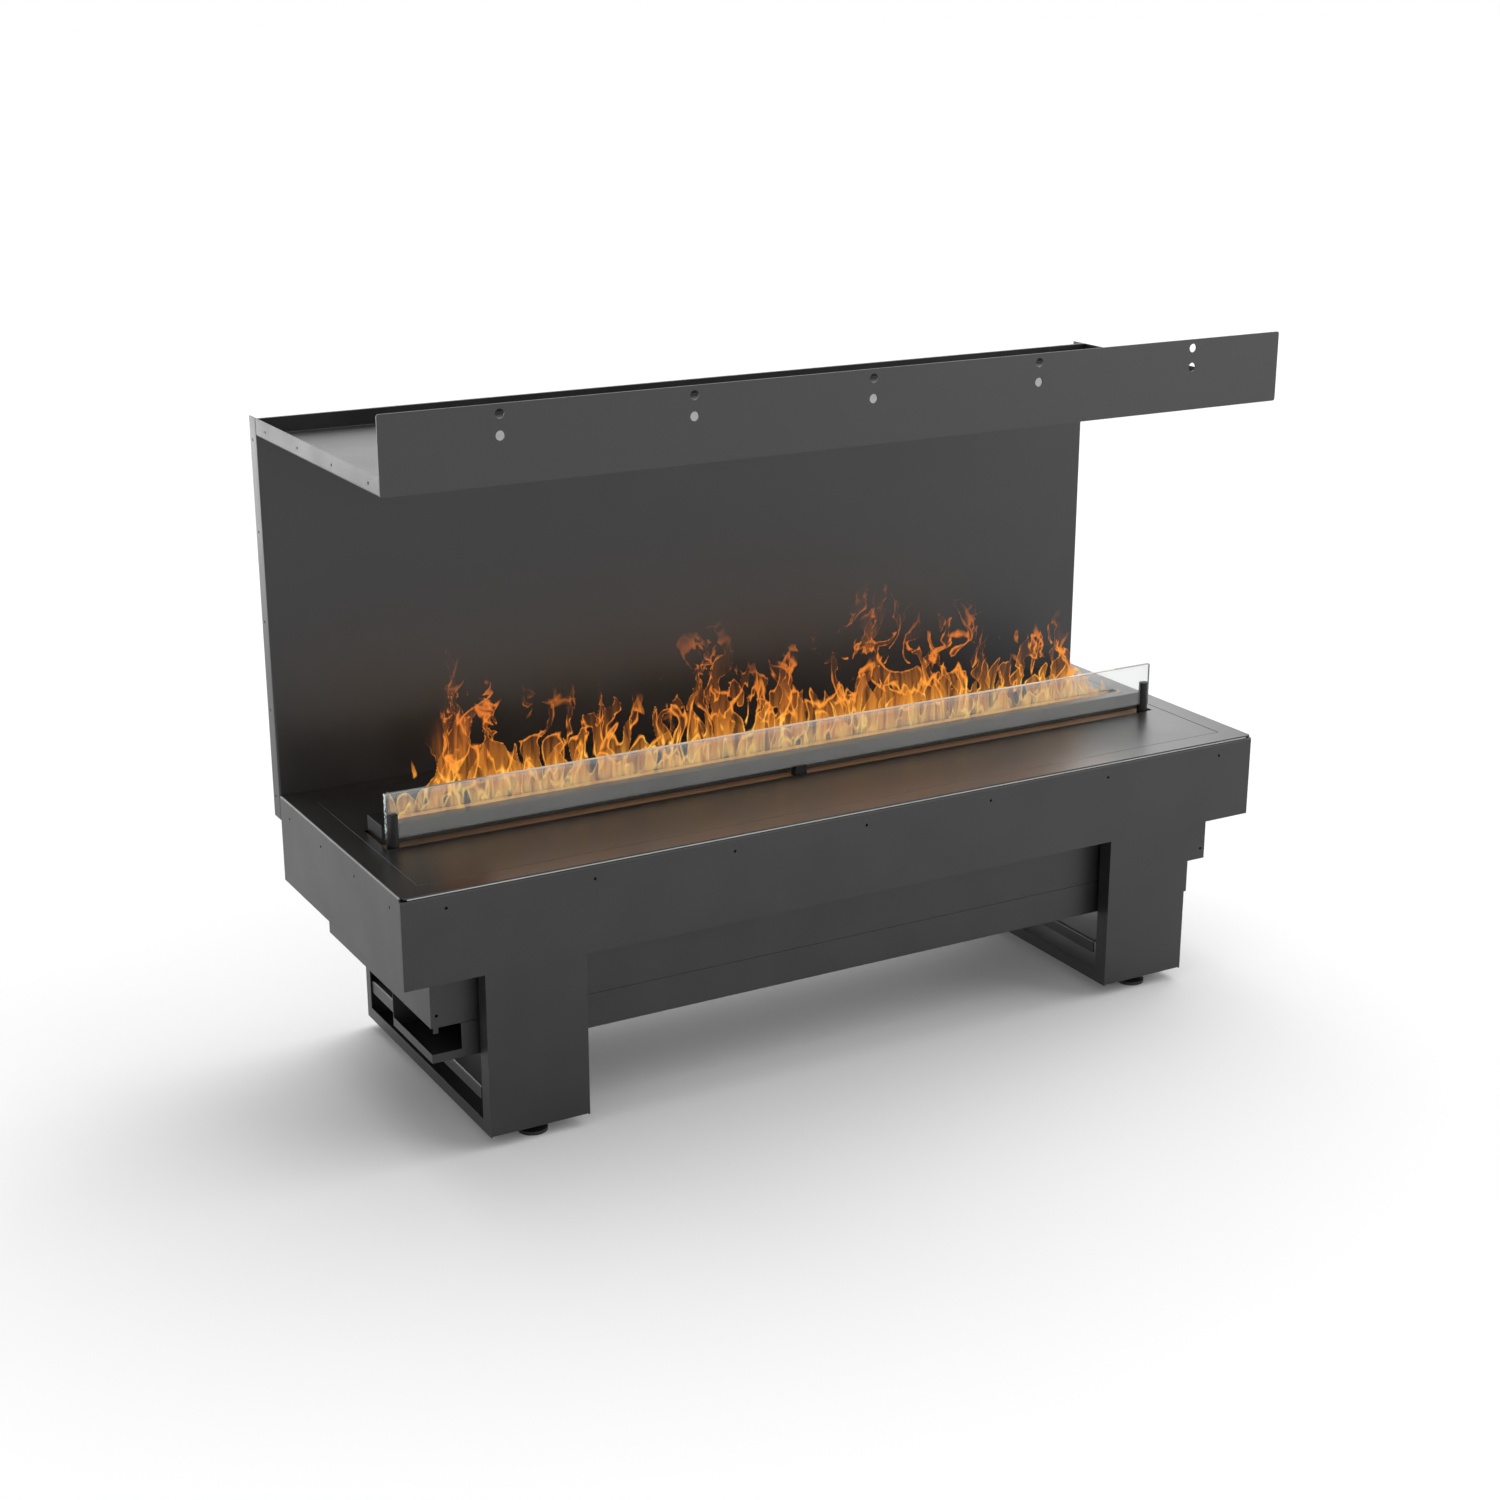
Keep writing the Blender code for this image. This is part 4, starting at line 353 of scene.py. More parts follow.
def merged_copy(node):
    """A copy of a node's mesh, with its triangles joined to whole flat faces."""
    work = bmesh.new()
    work.from_mesh(NODES[node].data)
    bmesh.ops.remove_doubles(work, verts=work.verts, dist=MERGE)
    bmesh.ops.dissolve_limit(work, angle_limit=FLAT_WITHIN, verts=work.verts, edges=work.edges)
    return to_mesh(work, node)


def broken_edges(node, name, finish, width):
    """A copy of a CAD node that stands for it, with its sharp edges rounded by this width in millimetres."""
    piece = link(name, merged_copy(node))
    give_finish(piece, finish)
    for face in piece.data.polygons:
        face.use_smooth = True
    rounding = piece.modifiers.new("broken edges", "BEVEL")
    rounding.width = width * MM
    rounding.segments = 2
    rounding.limit_method = "ANGLE"
    rounding.angle_limit = SHARP_OVER
    flatness = piece.modifiers.new("flat faces", "WEIGHTED_NORMAL")
    flatness.weight = 100
    applied(piece)
    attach(piece, BODY_OF[node])
    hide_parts(node)
    return piece


SHEETS = {
    "casing_base": "deck_sheet", "front_skirt": "front_skirt_sheet", "back_panel": "back_sheet",
    "hood_tray": "ceiling_sheet", "front_fascia": "fascia_sheet", "leg_left": "left_leg_sheet",
    "leg_right": "right_leg_sheet", "leg_brace_left": "left_brace_sheet",
    "leg_brace_right": "right_brace_sheet", "insert_cover": "cover_sheet",
    "insert_housing": "tub_sheet", "lower_housing": "lower_housing_sheet",
}
sheet_pieces = {}
for node, name in SHEETS.items():
    coat = DECK_COAT if node in ("casing_base", "insert_cover") else POWDER_COAT
    sheet_pieces[node] = broken_edges(node, name, coat, SHEET_EDGE)
burner = broken_edges("burner_box", "burner_shell", GREY_ENAMEL, BURNER_EDGE)
# The trim carries the enamel with the painted fire glow.
trim = broken_edges("burner_trim", "burner_trim_sheet", FIRE_GLOW_ENAMEL, BURNER_EDGE)
deck = sheet_pieces["casing_base"]
deck.data.materials.append(POWDER_COAT)
burner.data.materials.append(ENAMEL)
for face in deck.data.polygons:
    face.material_index = 0 if abs(face.normal.z) > 0.5 else 1
for face in burner.data.polygons:
    face.material_index = 0 if face.normal.y < -0.5 else 1
print("sheets", {piece.name: len(piece.data.polygons) for piece in (*sheet_pieces.values(), burner, trim)})

# %% [markdown]
# A silicone cord closes the gap between the deck and the front skirt. Its pale grey and its round nose, set
# almost flush with the skirt's face, are a painted highlight: they draw the thin light line along the whole
# front, where the skirt's top edge catches the light. It is extruded, so one outline of it is pushed along
# the gap.

# %% Silicone cord
def cord_mesh(left, right, nose, rear, low, high, steps=6):
    """A cord with a flat back and a round nose, between these two ends."""
    radius = (high - low) / 2
    outline = [(rear, low), (rear, high)]
    for step in range(steps + 1):
        angle = math.pi * step / steps
        outline.append((
            nose + radius - radius * math.sin(angle), (low + high) / 2 + radius * math.cos(angle)))
    work = bmesh.new()
    ends = [[work.verts.new((x, y, z)) for y, z in outline] for x in (left, right)]
    for number in range(len(outline)):
        work.faces.new((ends[0][number - 1], ends[0][number], ends[1][number], ends[1][number - 1]))
    for end in ends:
        work.faces.new(end)
    bmesh.ops.recalc_face_normals(work, faces=work.faces)
    return to_mesh(work, "silicone_cord")


# The cord's nose sits just behind the skirt's face, so that its painted highlight shows from the front.
NOSE_BEHIND_SKIRT, CORD_SQUEEZE = 0.4 * MM, 0.2 * MM
seal_low, seal_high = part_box("skirt_seal")
cord = link("silicone_cord", cord_mesh(
    seal_low.x, seal_high.x, FRONT + NOSE_BEHIND_SKIRT, seal_high.y, seal_low.z, seal_high.z + CORD_SQUEEZE))
give_finish(cord, PALE_SILICONE_HIGHLIGHT)
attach(cord, "casing")
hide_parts("skirt_seal")
print("cord", len(cord.data.polygons))

# %% [markdown]
# The glass is a toughened strip, 6 mm thick, with polished edges. A flat pane seen square on is almost
# nothing but a faint grey veil and the room's reflection. What draws it is its edge, where light that
# enters the pane comes out. The top edge is pale before the dark back panel and turns dark before the white
# room at its right, its two uprights sparkle, and its foot lies in shade. This light and shade is painted
# into the edge's colour: a pale tint for the light that comes out, painted glints on the uprights, a painted
# dark end at the right and painted shade along the foot. So the faces and the edges get two materials on
# one closed, bevelled body.

# %% Glass strip
# Where the edge's painted dark end, its painted shade along the foot and its painted glints on the uprights
# start and end.
PAINTED_DARK_FROM, PAINTED_DARK_TO = 0.40, 0.50
PAINTED_SHADE_LOW, PAINTED_SHADE_HIGH = GLASS_LOW[2] + 4 * MM, GLASS_LOW[2] + 12 * MM
PAINTED_GLINT_START, PAINTED_GLINT_END = GLASS_HIGH[0] - 3 * MM, GLASS_HIGH[0] - 1 * MM
GLASS_IOR, ARRIS = 1.52, 0.5 * MM


def glass_face():
    made, tree, shader, place = new_material("clear_glass_face")
    film = add_node(tree, "ShaderNodeTexNoise", {"Vector": place, "Scale": per_metre(90), "Detail": 3.0})
    feed(tree, shader, {
        "Transmission Weight": result(tree, RANGE, film.outputs["Fac"], 0.3, 0.7, 0.86, 0.83),
        "Roughness": 0.0, "Specular IOR Level": 0.8, "Base Color": colour("#f4f6f5"), "IOR": GLASS_IOR})
    return made


def edge_painted_light():
    made, tree, shader, place = new_material("polished_glass_edge")
    spot = add_node(tree, "ShaderNodeSeparateXYZ", {"Vector": place}).outputs
    aside = result(tree, MATH, spot["X"], operation="ABSOLUTE")
    painted_glint = add_node(tree, "ShaderNodeTexNoise", {"Vector": place, "Scale": per_metre(4), "Detail": 1.0})
    # The edge's colour is painted light: a pale tint for the light that comes out, then painted glints on the
    # uprights and a painted dark end towards the right.
    tint = colour("#c3cdc9")
    for value, low, high, other in (
            (aside, PAINTED_GLINT_START, PAINTED_GLINT_END, two_tones(
                tree, painted_glint.outputs["Fac"], "#3d5450", "#e9f7f3", 0.42, 0.54)),
            (spot["X"], PAINTED_DARK_FROM, PAINTED_DARK_TO, colour("#474d4b"))):
        share = result(tree, RANGE, value, low, high)
        tint = add_node(tree, "ShaderNodeMix", {0: share, 6: tint, 7: other}, data_type="RGBA").outputs[2]
    # Painted shade along the foot of the edge.
    above_painted_shade = result(tree, RANGE, spot["Z"], PAINTED_SHADE_LOW, PAINTED_SHADE_HIGH)
    clear = add_node(tree, "ShaderNodeMix", {0: above_painted_shade, 6: colour("#2c3331"), 7: tint}, data_type="RGBA")
    feed(tree, shader, {"Base Color": clear.outputs[2], "Roughness": 0.12, "IOR": GLASS_IOR})
    return made


GLASS_FACE = glass_face()
GLASS_EDGE_PAINTED_LIGHT = edge_painted_light()
pane = link("glass_strip", merged_copy("glass_screen"))
give_finish(pane, GLASS_FACE)
pane.data.materials.append(GLASS_EDGE_PAINTED_LIGHT)
arris = pane.modifiers.new("polished arris", "BEVEL")
arris.width = ARRIS
arris.segments = 2
arris.limit_method = "ANGLE"
applied(pane)
for face in pane.data.polygons:
    face.material_index = 0 if abs(face.normal.y) > 0.99 else 1
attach(pane, "glass_screen")
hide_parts("glass_screen")
print("glass", len(pane.data.polygons), "faces")

# %% [markdown]
# The flames are mist that is lit from below. On the real object they are thin sheets of mist, with bright
# rims where a sheet folds, orange where it is thick, and brown where it thins out and breaks into curls.
# The mesh carries how dense the mist is and where its rims are. The material adds fine upright streaks, and
# takes the colour from the height over the slot. A rim and a dense streak look hotter than the rest at
# their height.

# %% Flame material
FIRE_BASE = BURNER_HIGH[2] - 6 * MM
SLOT_END = 0.592
TINT_LOW, TINT_HIGH = FIRE_BASE - 30 * MM, FIRE_BASE + 260 * MM
STREAK_WIDTH, STREAK_STRETCH = 8, 0.07
RIM_HEAT, STREAK_HEAT = -0.12, -0.5
LOWEST_TINT, HIGHEST_TINT = "#ffcb62", "#85543a"
TINTS_BETWEEN = [(0.06, "#fca43c"), (0.2, "#f49036"), (0.45, "#e27c30"), (0.72, "#bd6938")]


def lit_mist():
    made, tree, shader, place = new_material("lit_mist")
    veil, rim = (
        add_node(tree, "ShaderNodeAttribute", attribute_name=title).outputs["Fac"]
        for title in ("veil", "rim"))
    spot = add_node(tree, "ShaderNodeSeparateXYZ", {"Vector": place}).outputs
    height = result(tree, RANGE, spot["Z"], TINT_LOW, TINT_HIGH, -0.02, 1.0, **SMOOTH)
    stretched = add_node(tree, "ShaderNodeMapping", {"Vector": place, "Scale": (1, 1, STREAK_STRETCH)})
    streaks = add_node(tree, "ShaderNodeTexNoise", {
        "Vector": stretched.outputs["Vector"], "Scale": per_metre(STREAK_WIDTH), "Detail": 2.0,
        "Distortion": 0.6}).outputs["Fac"]
    cooled = result(tree, MATH, rim, RIM_HEAT, height, operation="MULTIPLY_ADD")
    centred = result(tree, MATH, streaks, 0.5, operation="SUBTRACT")
    cooled = result(tree, MATH, centred, STREAK_HEAT, cooled, operation="MULTIPLY_ADD")
    tint = two_tones(tree, cooled, LOWEST_TINT, HIGHEST_TINT)
    for position, text in TINTS_BETWEEN:
        tint.node.color_ramp.elements.new(position).color = colour(text)
    streaked = result(tree, RANGE, streaks, 0.36, 0.62, 0.30, 1.0, **SMOOTH)
    shown = result(tree, MATH, streaked, rim, operation="MAXIMUM")
    feed(tree, shader, {
        "Emission Color": tint, "Emission Strength": 1.15,
        "Alpha": result(tree, MATH, veil, shown, **TIMES),
        "Base Color": colour("#000000"), "Specular IOR Level": 0.0, "Roughness": 1.0})
    return made


LIT_MIST = lit_mist()
print(LIT_MIST.name)

# %% [markdown]
# What repeats, follows a path or follows a rule is grown by Geometry Nodes. Each tree has named inputs for
# its sizes and ends in real geometry with its material. Each result becomes a plain mesh that rides on a
# body.

# %% Helpers for Geometry Nodes
ZERO = (0.0, 0.0, 0.0)


def new_tree(name, sizes):
    """A Geometry Nodes group with one named input for each size, and the sockets that give them."""
    tree = bpy.data.node_groups.new(name, "GeometryNodeTree")
    kinds = {int: "NodeSocketInt", float: "NodeSocketFloat", tuple: "NodeSocketVector",
             bpy.types.Material: "NodeSocketMaterial", bpy.types.Object: "NodeSocketObject"}
    for title, value in sizes.items():
        tree.interface.new_socket(title, in_out="INPUT", socket_type=kinds[type(value)])
    tree.interface.new_socket("Geometry", in_out="OUTPUT", socket_type="NodeSocketGeometry")
    return tree, add_node(tree, "NodeGroupInput").outputs


def end_tree(tree, shape, material):
    """Ends a tree in real geometry with its material."""
    real = result(tree, "GeometryNodeRealizeInstances", shape)
    dressed = add_node(tree, "GeometryNodeSetMaterial", {"Geometry": real, "Material": material})
    add_node(tree, "NodeGroupOutput", {"Geometry": dressed.outputs[0]})


def grown(name, tree, sizes, body):
    """The plain mesh that a tree gives for these sizes, riding on a body."""
    piece = link(name, bpy.data.meshes.new(name))
    modifier = piece.modifiers.new(name, "NODES")
    modifier.node_group = tree
    for item in tree.interface.items_tree:
        if item.in_out == "INPUT":
            modifier[item.identifier] = sizes[item.name]
    applied(piece)
    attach(piece, body)
    print(name, len(piece.data.polygons))


def copies_on(tree, points, shape, **inputs):
    """Copies of a shape on points."""
    return add_node(tree, "GeometryNodeInstanceOnPoints", {
        "Points": points, "Instance": shape, **inputs}).outputs[0]


def round_wire(tree, path, radius, sides):
    """Gives a path a round section, with closed ends."""
    section = add_node(tree, "GeometryNodeCurvePrimitiveCircle", {"Resolution": sides, "Radius": radius})
    return add_node(tree, "GeometryNodeCurveToMesh", {
        "Curve": path, "Profile Curve": section.outputs[0], "Fill Caps": True}).outputs[0]


def placed(tree, shape, centre, turn=ZERO):
    """Turns a shape and brings it to its centre."""
    return add_node(tree, "GeometryNodeTransform", {
        "Geometry": shape, "Translation": centre, "Rotation": turn}).outputs[0]


def joined(tree, *shapes):
    """Several shapes as one."""
    whole = add_node(tree, "GeometryNodeJoinGeometry")
    for shape in shapes:
        tree.links.new(shape, whole.inputs[0])
    return whole.outputs[0]


print("helpers ready")

# %% [markdown]
# Rising mist is torn by draughts, and it is taller in some places than in others. A draught is a noise that
# shifts the place at which another noise is read: large eddies bend a whole tongue, middle ones curl it, and
# small ones fray it. The fire's height comes from a curve along the slot, with a few clusters on it.

# %% Draughts and the height of the fire
# The width of the three kinds of eddies and how far each one pushes, in millimetres.
LARGE_EDDY, MIDDLE_EDDY, SMALL_EDDY = (80, 90), (30, 44), (13, 26)
# The points of the curve: each is a share of the slot's length and a share of the tallest.
CLUSTERS = [
    (0.0, 0.25), (0.05, 0.45), (0.11, 0.95), (0.16, 0.62), (0.2, 0.6), (0.26, 0.62), (0.32, 0.5),
    (0.39, 0.85), (0.46, 0.6), (0.52, 0.72), (0.57, 0.55), (0.62, 1.0), (0.68, 0.75), (0.74, 0.8),
    (0.8, 0.5), (0.88, 0.62), (0.92, 0.45), (0.95, 0.22), (1.0, 0.1)]


def read_noise(tree, place, across, upward):
    """A noise whose features have these two sizes in millimetres, along and up a sheet."""
    scale = (per_metre(across), per_metre(upward), 1.0)
    spot = result(tree, VECTOR, place, scale, **TIMES)
    return add_node(tree, "ShaderNodeTexNoise", {"Vector": spot, "Scale": 1.0, "Detail": 1.0}).outputs


def blown(tree, place, feature, push, lift):
    """A place on a sheet after a draught has pushed it."""
    wind = read_noise(tree, place, feature, feature * 1.4)["Color"]
    centred = result(tree, VECTOR, wind, (0.5, 0.5, 0.5), operation="SUBTRACT")
    sized = result(tree, VECTOR, centred, (push * MM, push * MM, 0), **TIMES)
    moved = add_node(tree, VECTOR, {0: sized, "Scale": lift}, operation="SCALE").outputs[0]
    return result(tree, VECTOR, place, moved, operation="ADD")


def height_curve(tree, along):
    """How tall the fire is along the slot: low at both ends, and in clusters between them."""
    share = result(tree, RANGE, along, -SLOT_END, SLOT_END)
    curve = add_node(tree, "ShaderNodeFloatCurve", {"Value": share})
    points = curve.mapping.curves[0].points
    points[0].location, points[1].location = CLUSTERS[0], CLUSTERS[-1]
    for spot in CLUSTERS[1:-1]:
        points.new(*spot)
    curve.mapping.update()
    return curve.outputs[0]


print("points of the height curve", len(CLUSTERS))

# %% [markdown]
# The mist's shapes follow a rule. A fine grid stands along the slot, and draughts shift the place at which a
# stretched noise is read, more the higher it is. Where the noise passes a bar, there is mist, and the line at
# which it just passes is a bright rim. The bar rises with height, so that the mist narrows to tongues, arches
# and loose curls, and what lies under the bar is cut away. Three such sheets with other seeds stand close
# behind each other, and each one waves to and fro.

# %% Sheets of mist
SHEET_HEIGHT = 0.26
WAVE_SIZE = (110, 160)
EMPTY_UNDER = 0.012
# Each span is from and to, and some go on with the values at both ends. Heights are metres over the slot,
# and a share is the height over that of the fire at this place.
PUSH_SPAN, CURL_SPAN = (0.0, 0.10), (0.04, 0.15)
BAR_SPAN, DENSE_SPAN = (-0.6, 1.7), (0.0, 0.05)
THIN_SPAN, FADE_SPAN = (0.4, 1.1, 1.0, 0.25), (0.9, 1.6, 1.0, 0.0)
FOOT_DENSE_SPAN, FOOT_FADE_SPAN = (0.0, 0.07, 1.6, 0.9), (0.0, 0.02, 0.35, 1.0)
WAVE_SPAN = (0.0, 0.12, 0.15, 1.0)


def sheet_tree(name, sizes, across, upward):
    tree, sized = new_tree(name, sizes)
    grid = result(tree, "GeometryNodeMeshGrid", 2 * SLOT_END, SHEET_HEIGHT, sized["Columns"], sized["Rows"])
    here = add_node(tree, "GeometryNodeInputPosition").outputs[0]
    corner = result(tree, "ShaderNodeCombineXYZ", 0.0, SHEET_HEIGHT / 2, sized["Seed"])
    place = result(tree, VECTOR, here, corner, operation="ADD")
    flat = add_node(tree, "ShaderNodeSeparateXYZ", {"Vector": place}).outputs
    lift = result(tree, RANGE, flat["Y"], *PUSH_SPAN, **SMOOTH)
    high = result(tree, RANGE, flat["Y"], *CURL_SPAN, **SMOOTH)
    wavy = blown(tree, place, *LARGE_EDDY, lift)
    curly = blown(tree, wavy, *MIDDLE_EDDY, lift)
    lacy = blown(tree, curly, *SMALL_EDDY, high)
    along = result(tree, "ShaderNodeSeparateXYZ", wavy)
    tall = result(tree, MATH, height_curve(tree, along), sized["Tallest"], **TIMES)
    rise = result(tree, MATH, flat["Y"], tall, operation="DIVIDE")
    bar = result(tree, RANGE, rise, *BAR_SPAN, sized["Low Bar"], sized["High Bar"], **SMOOTH)
    inside = result(tree, MATH, read_noise(tree, lacy, across, upward)[0], bar, operation="SUBTRACT")
    from_rim = result(tree, MATH, inside, operation="ABSOLUTE")
    rim = result(tree, RANGE, from_rim, 0.0, sized["Rim"], 0.95, 0.0, **SMOOTH)
    dense = result(tree, RANGE, inside, *DENSE_SPAN, **SMOOTH)
    fill = result(tree, MATH, dense, sized["Fill"], **TIMES)
    for value, span in ((rise, THIN_SPAN), (flat["Y"], FOOT_DENSE_SPAN)):
        share = result(tree, RANGE, value, *span, **SMOOTH)
        fill = result(tree, MATH, fill, share, **TIMES)
    veil = result(tree, MATH, rim, fill, operation="MAXIMUM")
    for value, span in ((rise, FADE_SPAN), (flat["Y"], FOOT_FADE_SPAN)):
        share = result(tree, RANGE, value, *span, **SMOOTH)
        veil = result(tree, MATH, veil, share, **TIMES)
    marked = grid
    for title, value in (("veil", veil), ("rim", rim)):
        marked = add_node(tree, "GeometryNodeStoreNamedAttribute", {
            "Geometry": marked, "Name": title, "Value": value}, data_type="FLOAT", domain="POINT").outputs[0]
    kept = add_node(tree, "GeometryNodeInputNamedAttribute", {"Name": "veil"}, data_type="FLOAT").outputs[0]
    empty = result(tree, MATH, kept, EMPTY_UNDER, operation="LESS_THAN")
    cut = result(tree, "GeometryNodeDeleteGeometry", marked, empty, domain="POINT")
    wave = result(tree, MATH, read_noise(tree, place, *WAVE_SIZE)[0], 0.5, operation="SUBTRACT")
    wave = result(tree, MATH, wave, sized["Depth"], **TIMES)
    growth = result(tree, RANGE, flat["Y"], *WAVE_SPAN, **SMOOTH)
    wave = result(tree, MATH, wave, growth, **TIMES)
    upright = add_node(tree, "ShaderNodeCombineXYZ", {
        "X": flat["X"], "Y": result(tree, MATH, wave, sized["Stand"], operation="ADD"),
        "Z": result(tree, MATH, flat["Y"], FIRE_BASE, operation="ADD")}).outputs[0]
    stood = add_node(tree, "GeometryNodeSetPosition", {"Geometry": cut, "Position": upright}).outputs[0]
    end_tree(tree, result(tree, "GeometryNodeSetShadeSmooth", stood), sized["Material"])
    return tree


SHEET_SIZES = {
    "Columns": 1000, "Rows": 150, "Tallest": 0.165, "Low Bar": 0.36, "High Bar": 0.68, "Rim": 0.034,
    "Fill": 0.36, "Depth": 0.05, "Material": LIT_MIST}
# Each sheet has the width and height of its tongues in millimetres, its seed and where it stands.
SHEETS_OF_MIST = {
    "flame_sheet_front": (22, 70, {"Seed": 3.1, "Stand": SLOT_Y - 10 * MM}),
    "flame_sheet_middle": (30, 95, {"Seed": 11.7, "Stand": SLOT_Y}),
    "flame_sheet_rear": (18, 60, {"Seed": 27.3, "Stand": SLOT_Y + 10 * MM}),
}
for name, (across, upward, own) in SHEETS_OF_MIST.items():
    sizes = {**SHEET_SIZES, **own}
    grown(name, sheet_tree(name, sizes, across, upward), sizes, "insert")

# %% [markdown]
# Sheet casings are held by small pan-head screws with a hexagon socket. A screw is a turned part, so its
# shape is an outline that goes round an axis, and the socket's ring is turned with a hexagon's radius. One
# such screw is copied along straight rows by a tree. A row on the rear of the back panel holds the base and
# another holds the ceiling tray. Two rows hold the lid of the control box.

# %% Screws
def turned(name, outline, sides=24):
    """A shape round Z. Each ring has a radius and a height in millimetres, and may be a hexagon."""
    work = bmesh.new()
    rings = []
    for radius, height, hexagonal in outline:
        ring = []
        for step in range(sides):
            angle = 2 * math.pi * step / sides
            share = math.cos(math.pi / 6) / math.cos(angle % (math.pi / 3) - math.pi / 6) if hexagonal else 1
            spot = Vector((radius * share * math.cos(angle), radius * share * math.sin(angle), height))
            ring.append(work.verts.new(spot * MM))
        rings.append(ring)
    for low, high in zip(rings, rings[1:]):
        for step in range(sides):
            work.faces.new((low[step - 1], low[step], high[step], high[step - 1]))
    work.faces.new(reversed(rings[0]))
    work.faces.new(rings[-1])
    bmesh.ops.recalc_face_normals(work, faces=work.faces)
    return link(name, to_mesh(work, name))


def row_tree():
    tree, sized = new_tree("row_of_parts", SCREW_ROW)
    line = add_node(tree, "GeometryNodeMeshLine", {
        "Count": sized["Count"], "Start Location": sized["Start"], "Offset": sized["Step"]}).outputs[0]
    source = add_node(tree, "GeometryNodeObjectInfo", {"Object": sized["Source"]}).outputs["Geometry"]
    turn = result(tree, "FunctionNodeEulerToRotation", sized["Facing"])
    end_tree(tree, copies_on(tree, line, source, Rotation=turn), sized["Material"])
    return tree


pan_screw = turned("pan_screw", [
    (1.9, -4.0, False), (1.9, 0.0, False), (3.9, 0.0, False), (4.0, 0.5, False), (3.7, 1.4, False),
    (3.0, 2.0, False), (1.5, 2.2, False), (1.35, 2.1, True), (1.3, 0.8, True)])
small_screw = turned("small_screw", [
    (1.2, -1.0, False), (1.2, 0.0, False), (2.5, 0.0, False), (2.6, 0.4, False), (2.3, 1.1, False),
    (1.2, 1.4, False), (1.05, 1.3, True), (1.0, 0.5, True)])
REAR_FACING, FRONT_FACING = (-math.pi / 2, 0.0, 0.0), (math.pi / 2, 0.0, 0.0)
SCREW_ROW = {"Count": 7, "Start": ZERO, "Step": ZERO, "Facing": ZERO, "Source": pan_screw,
             "Material": POWDER_COAT}
ROW_TREE = row_tree()
SHEET_THICKNESS = 2 * MM
PANEL_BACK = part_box("back_panel")[0][1] + SHEET_THICKNESS
ROW_MARGIN, BASE_ROW_DROP, TRAY_ROW_RISE = 60 * MM, 23 * MM, 11.4 * MM
ROW_STEP = (RIGHT - LEFT - 2 * ROW_MARGIN) / (SCREW_ROW["Count"] - 1)
tray_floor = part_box("hood_tray")[0][2]
for name, height in (("base_screws", DECK - BASE_ROW_DROP), ("tray_screws", tray_floor + TRAY_ROW_RISE)):
    own = {"Start": (LEFT + ROW_MARGIN, PANEL_BACK, height), "Step": (ROW_STEP, 0.0, 0.0),
           "Facing": REAR_FACING}
    grown(name, ROW_TREE, {**SCREW_ROW, **own}, "casing")

LID_INSET, LID_DEPTH_INSET = 6 * MM, 5 * MM
lid_low, lid_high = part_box("control_lid")
for name, depth in (
        ("lid_screws_front", lid_low.y + LID_DEPTH_INSET),
        ("lid_screws_rear", lid_high.y - LID_DEPTH_INSET)):
    own = {"Count": 2, "Start": (lid_low.x + LID_INSET, depth, lid_high.z),
           "Step": (lid_high.x - lid_low.x - 2 * LID_INSET, 0.0, 0.0), "Source": small_screw,
           "Material": ZINC}
    grown(name, ROW_TREE, {**SCREW_ROW, **own}, "insert")

# %% [markdown]
# Each fan blows into the mist tank and carries a wire guard, so that no finger meets the blades. Round wire
# is bent to rings and welded to spokes. The tree places circles whose radius grows by one step from ring to
# ring, then lays three wires across them, and gives all of them the same round section, as real wire has.
# Four small screws hold each fan.

# %% Fan guards and their screws
def guard_tree():
    tree, sized = new_tree("wire_guard", GUARD)
    index = add_node(tree, "GeometryNodeInputIndex").outputs[0]
    rings, spokes = (
        add_node(tree, "GeometryNodeMeshLine", {"Count": sized[title], "Offset": ZERO}).outputs[0]
        for title in ("Rings", "Spokes"))
    circle = add_node(tree, "GeometryNodeCurvePrimitiveCircle", {"Resolution": 40, "Radius": 1.0}).outputs[0]
    number = result(tree, MATH, index, 1.0, operation="ADD")
    radius = result(tree, MATH, number, sized["Spacing"], **TIMES)
    ringed = copies_on(tree, rings, circle, Scale=radius)
    reach = result(tree, MATH, sized["Rings"], sized["Spacing"], **TIMES)
    start = result(tree, "ShaderNodeCombineXYZ", reach)
    end = result(tree, "ShaderNodeCombineXYZ", result(tree, MATH, reach, -1.0, **TIMES))
    spoke = result(tree, "GeometryNodeCurvePrimitiveLine", start, end)
    angle = result(tree, MATH, math.pi, sized["Spokes"], operation="DIVIDE")
    angle = result(tree, MATH, index, angle, **TIMES)
    turn = result(tree, "ShaderNodeCombineXYZ", 0.0, 0.0, angle)
    turn = result(tree, "FunctionNodeEulerToRotation", turn)
    wires = joined(tree, ringed, copies_on(tree, spokes, spoke, Rotation=turn))
    real = result(tree, "GeometryNodeRealizeInstances", wires)
    wired = round_wire(tree, real, sized["Wire"], 8)
    end_tree(tree, placed(tree, wired, sized["Centre"], FRONT_FACING), sized["Material"])
    return tree


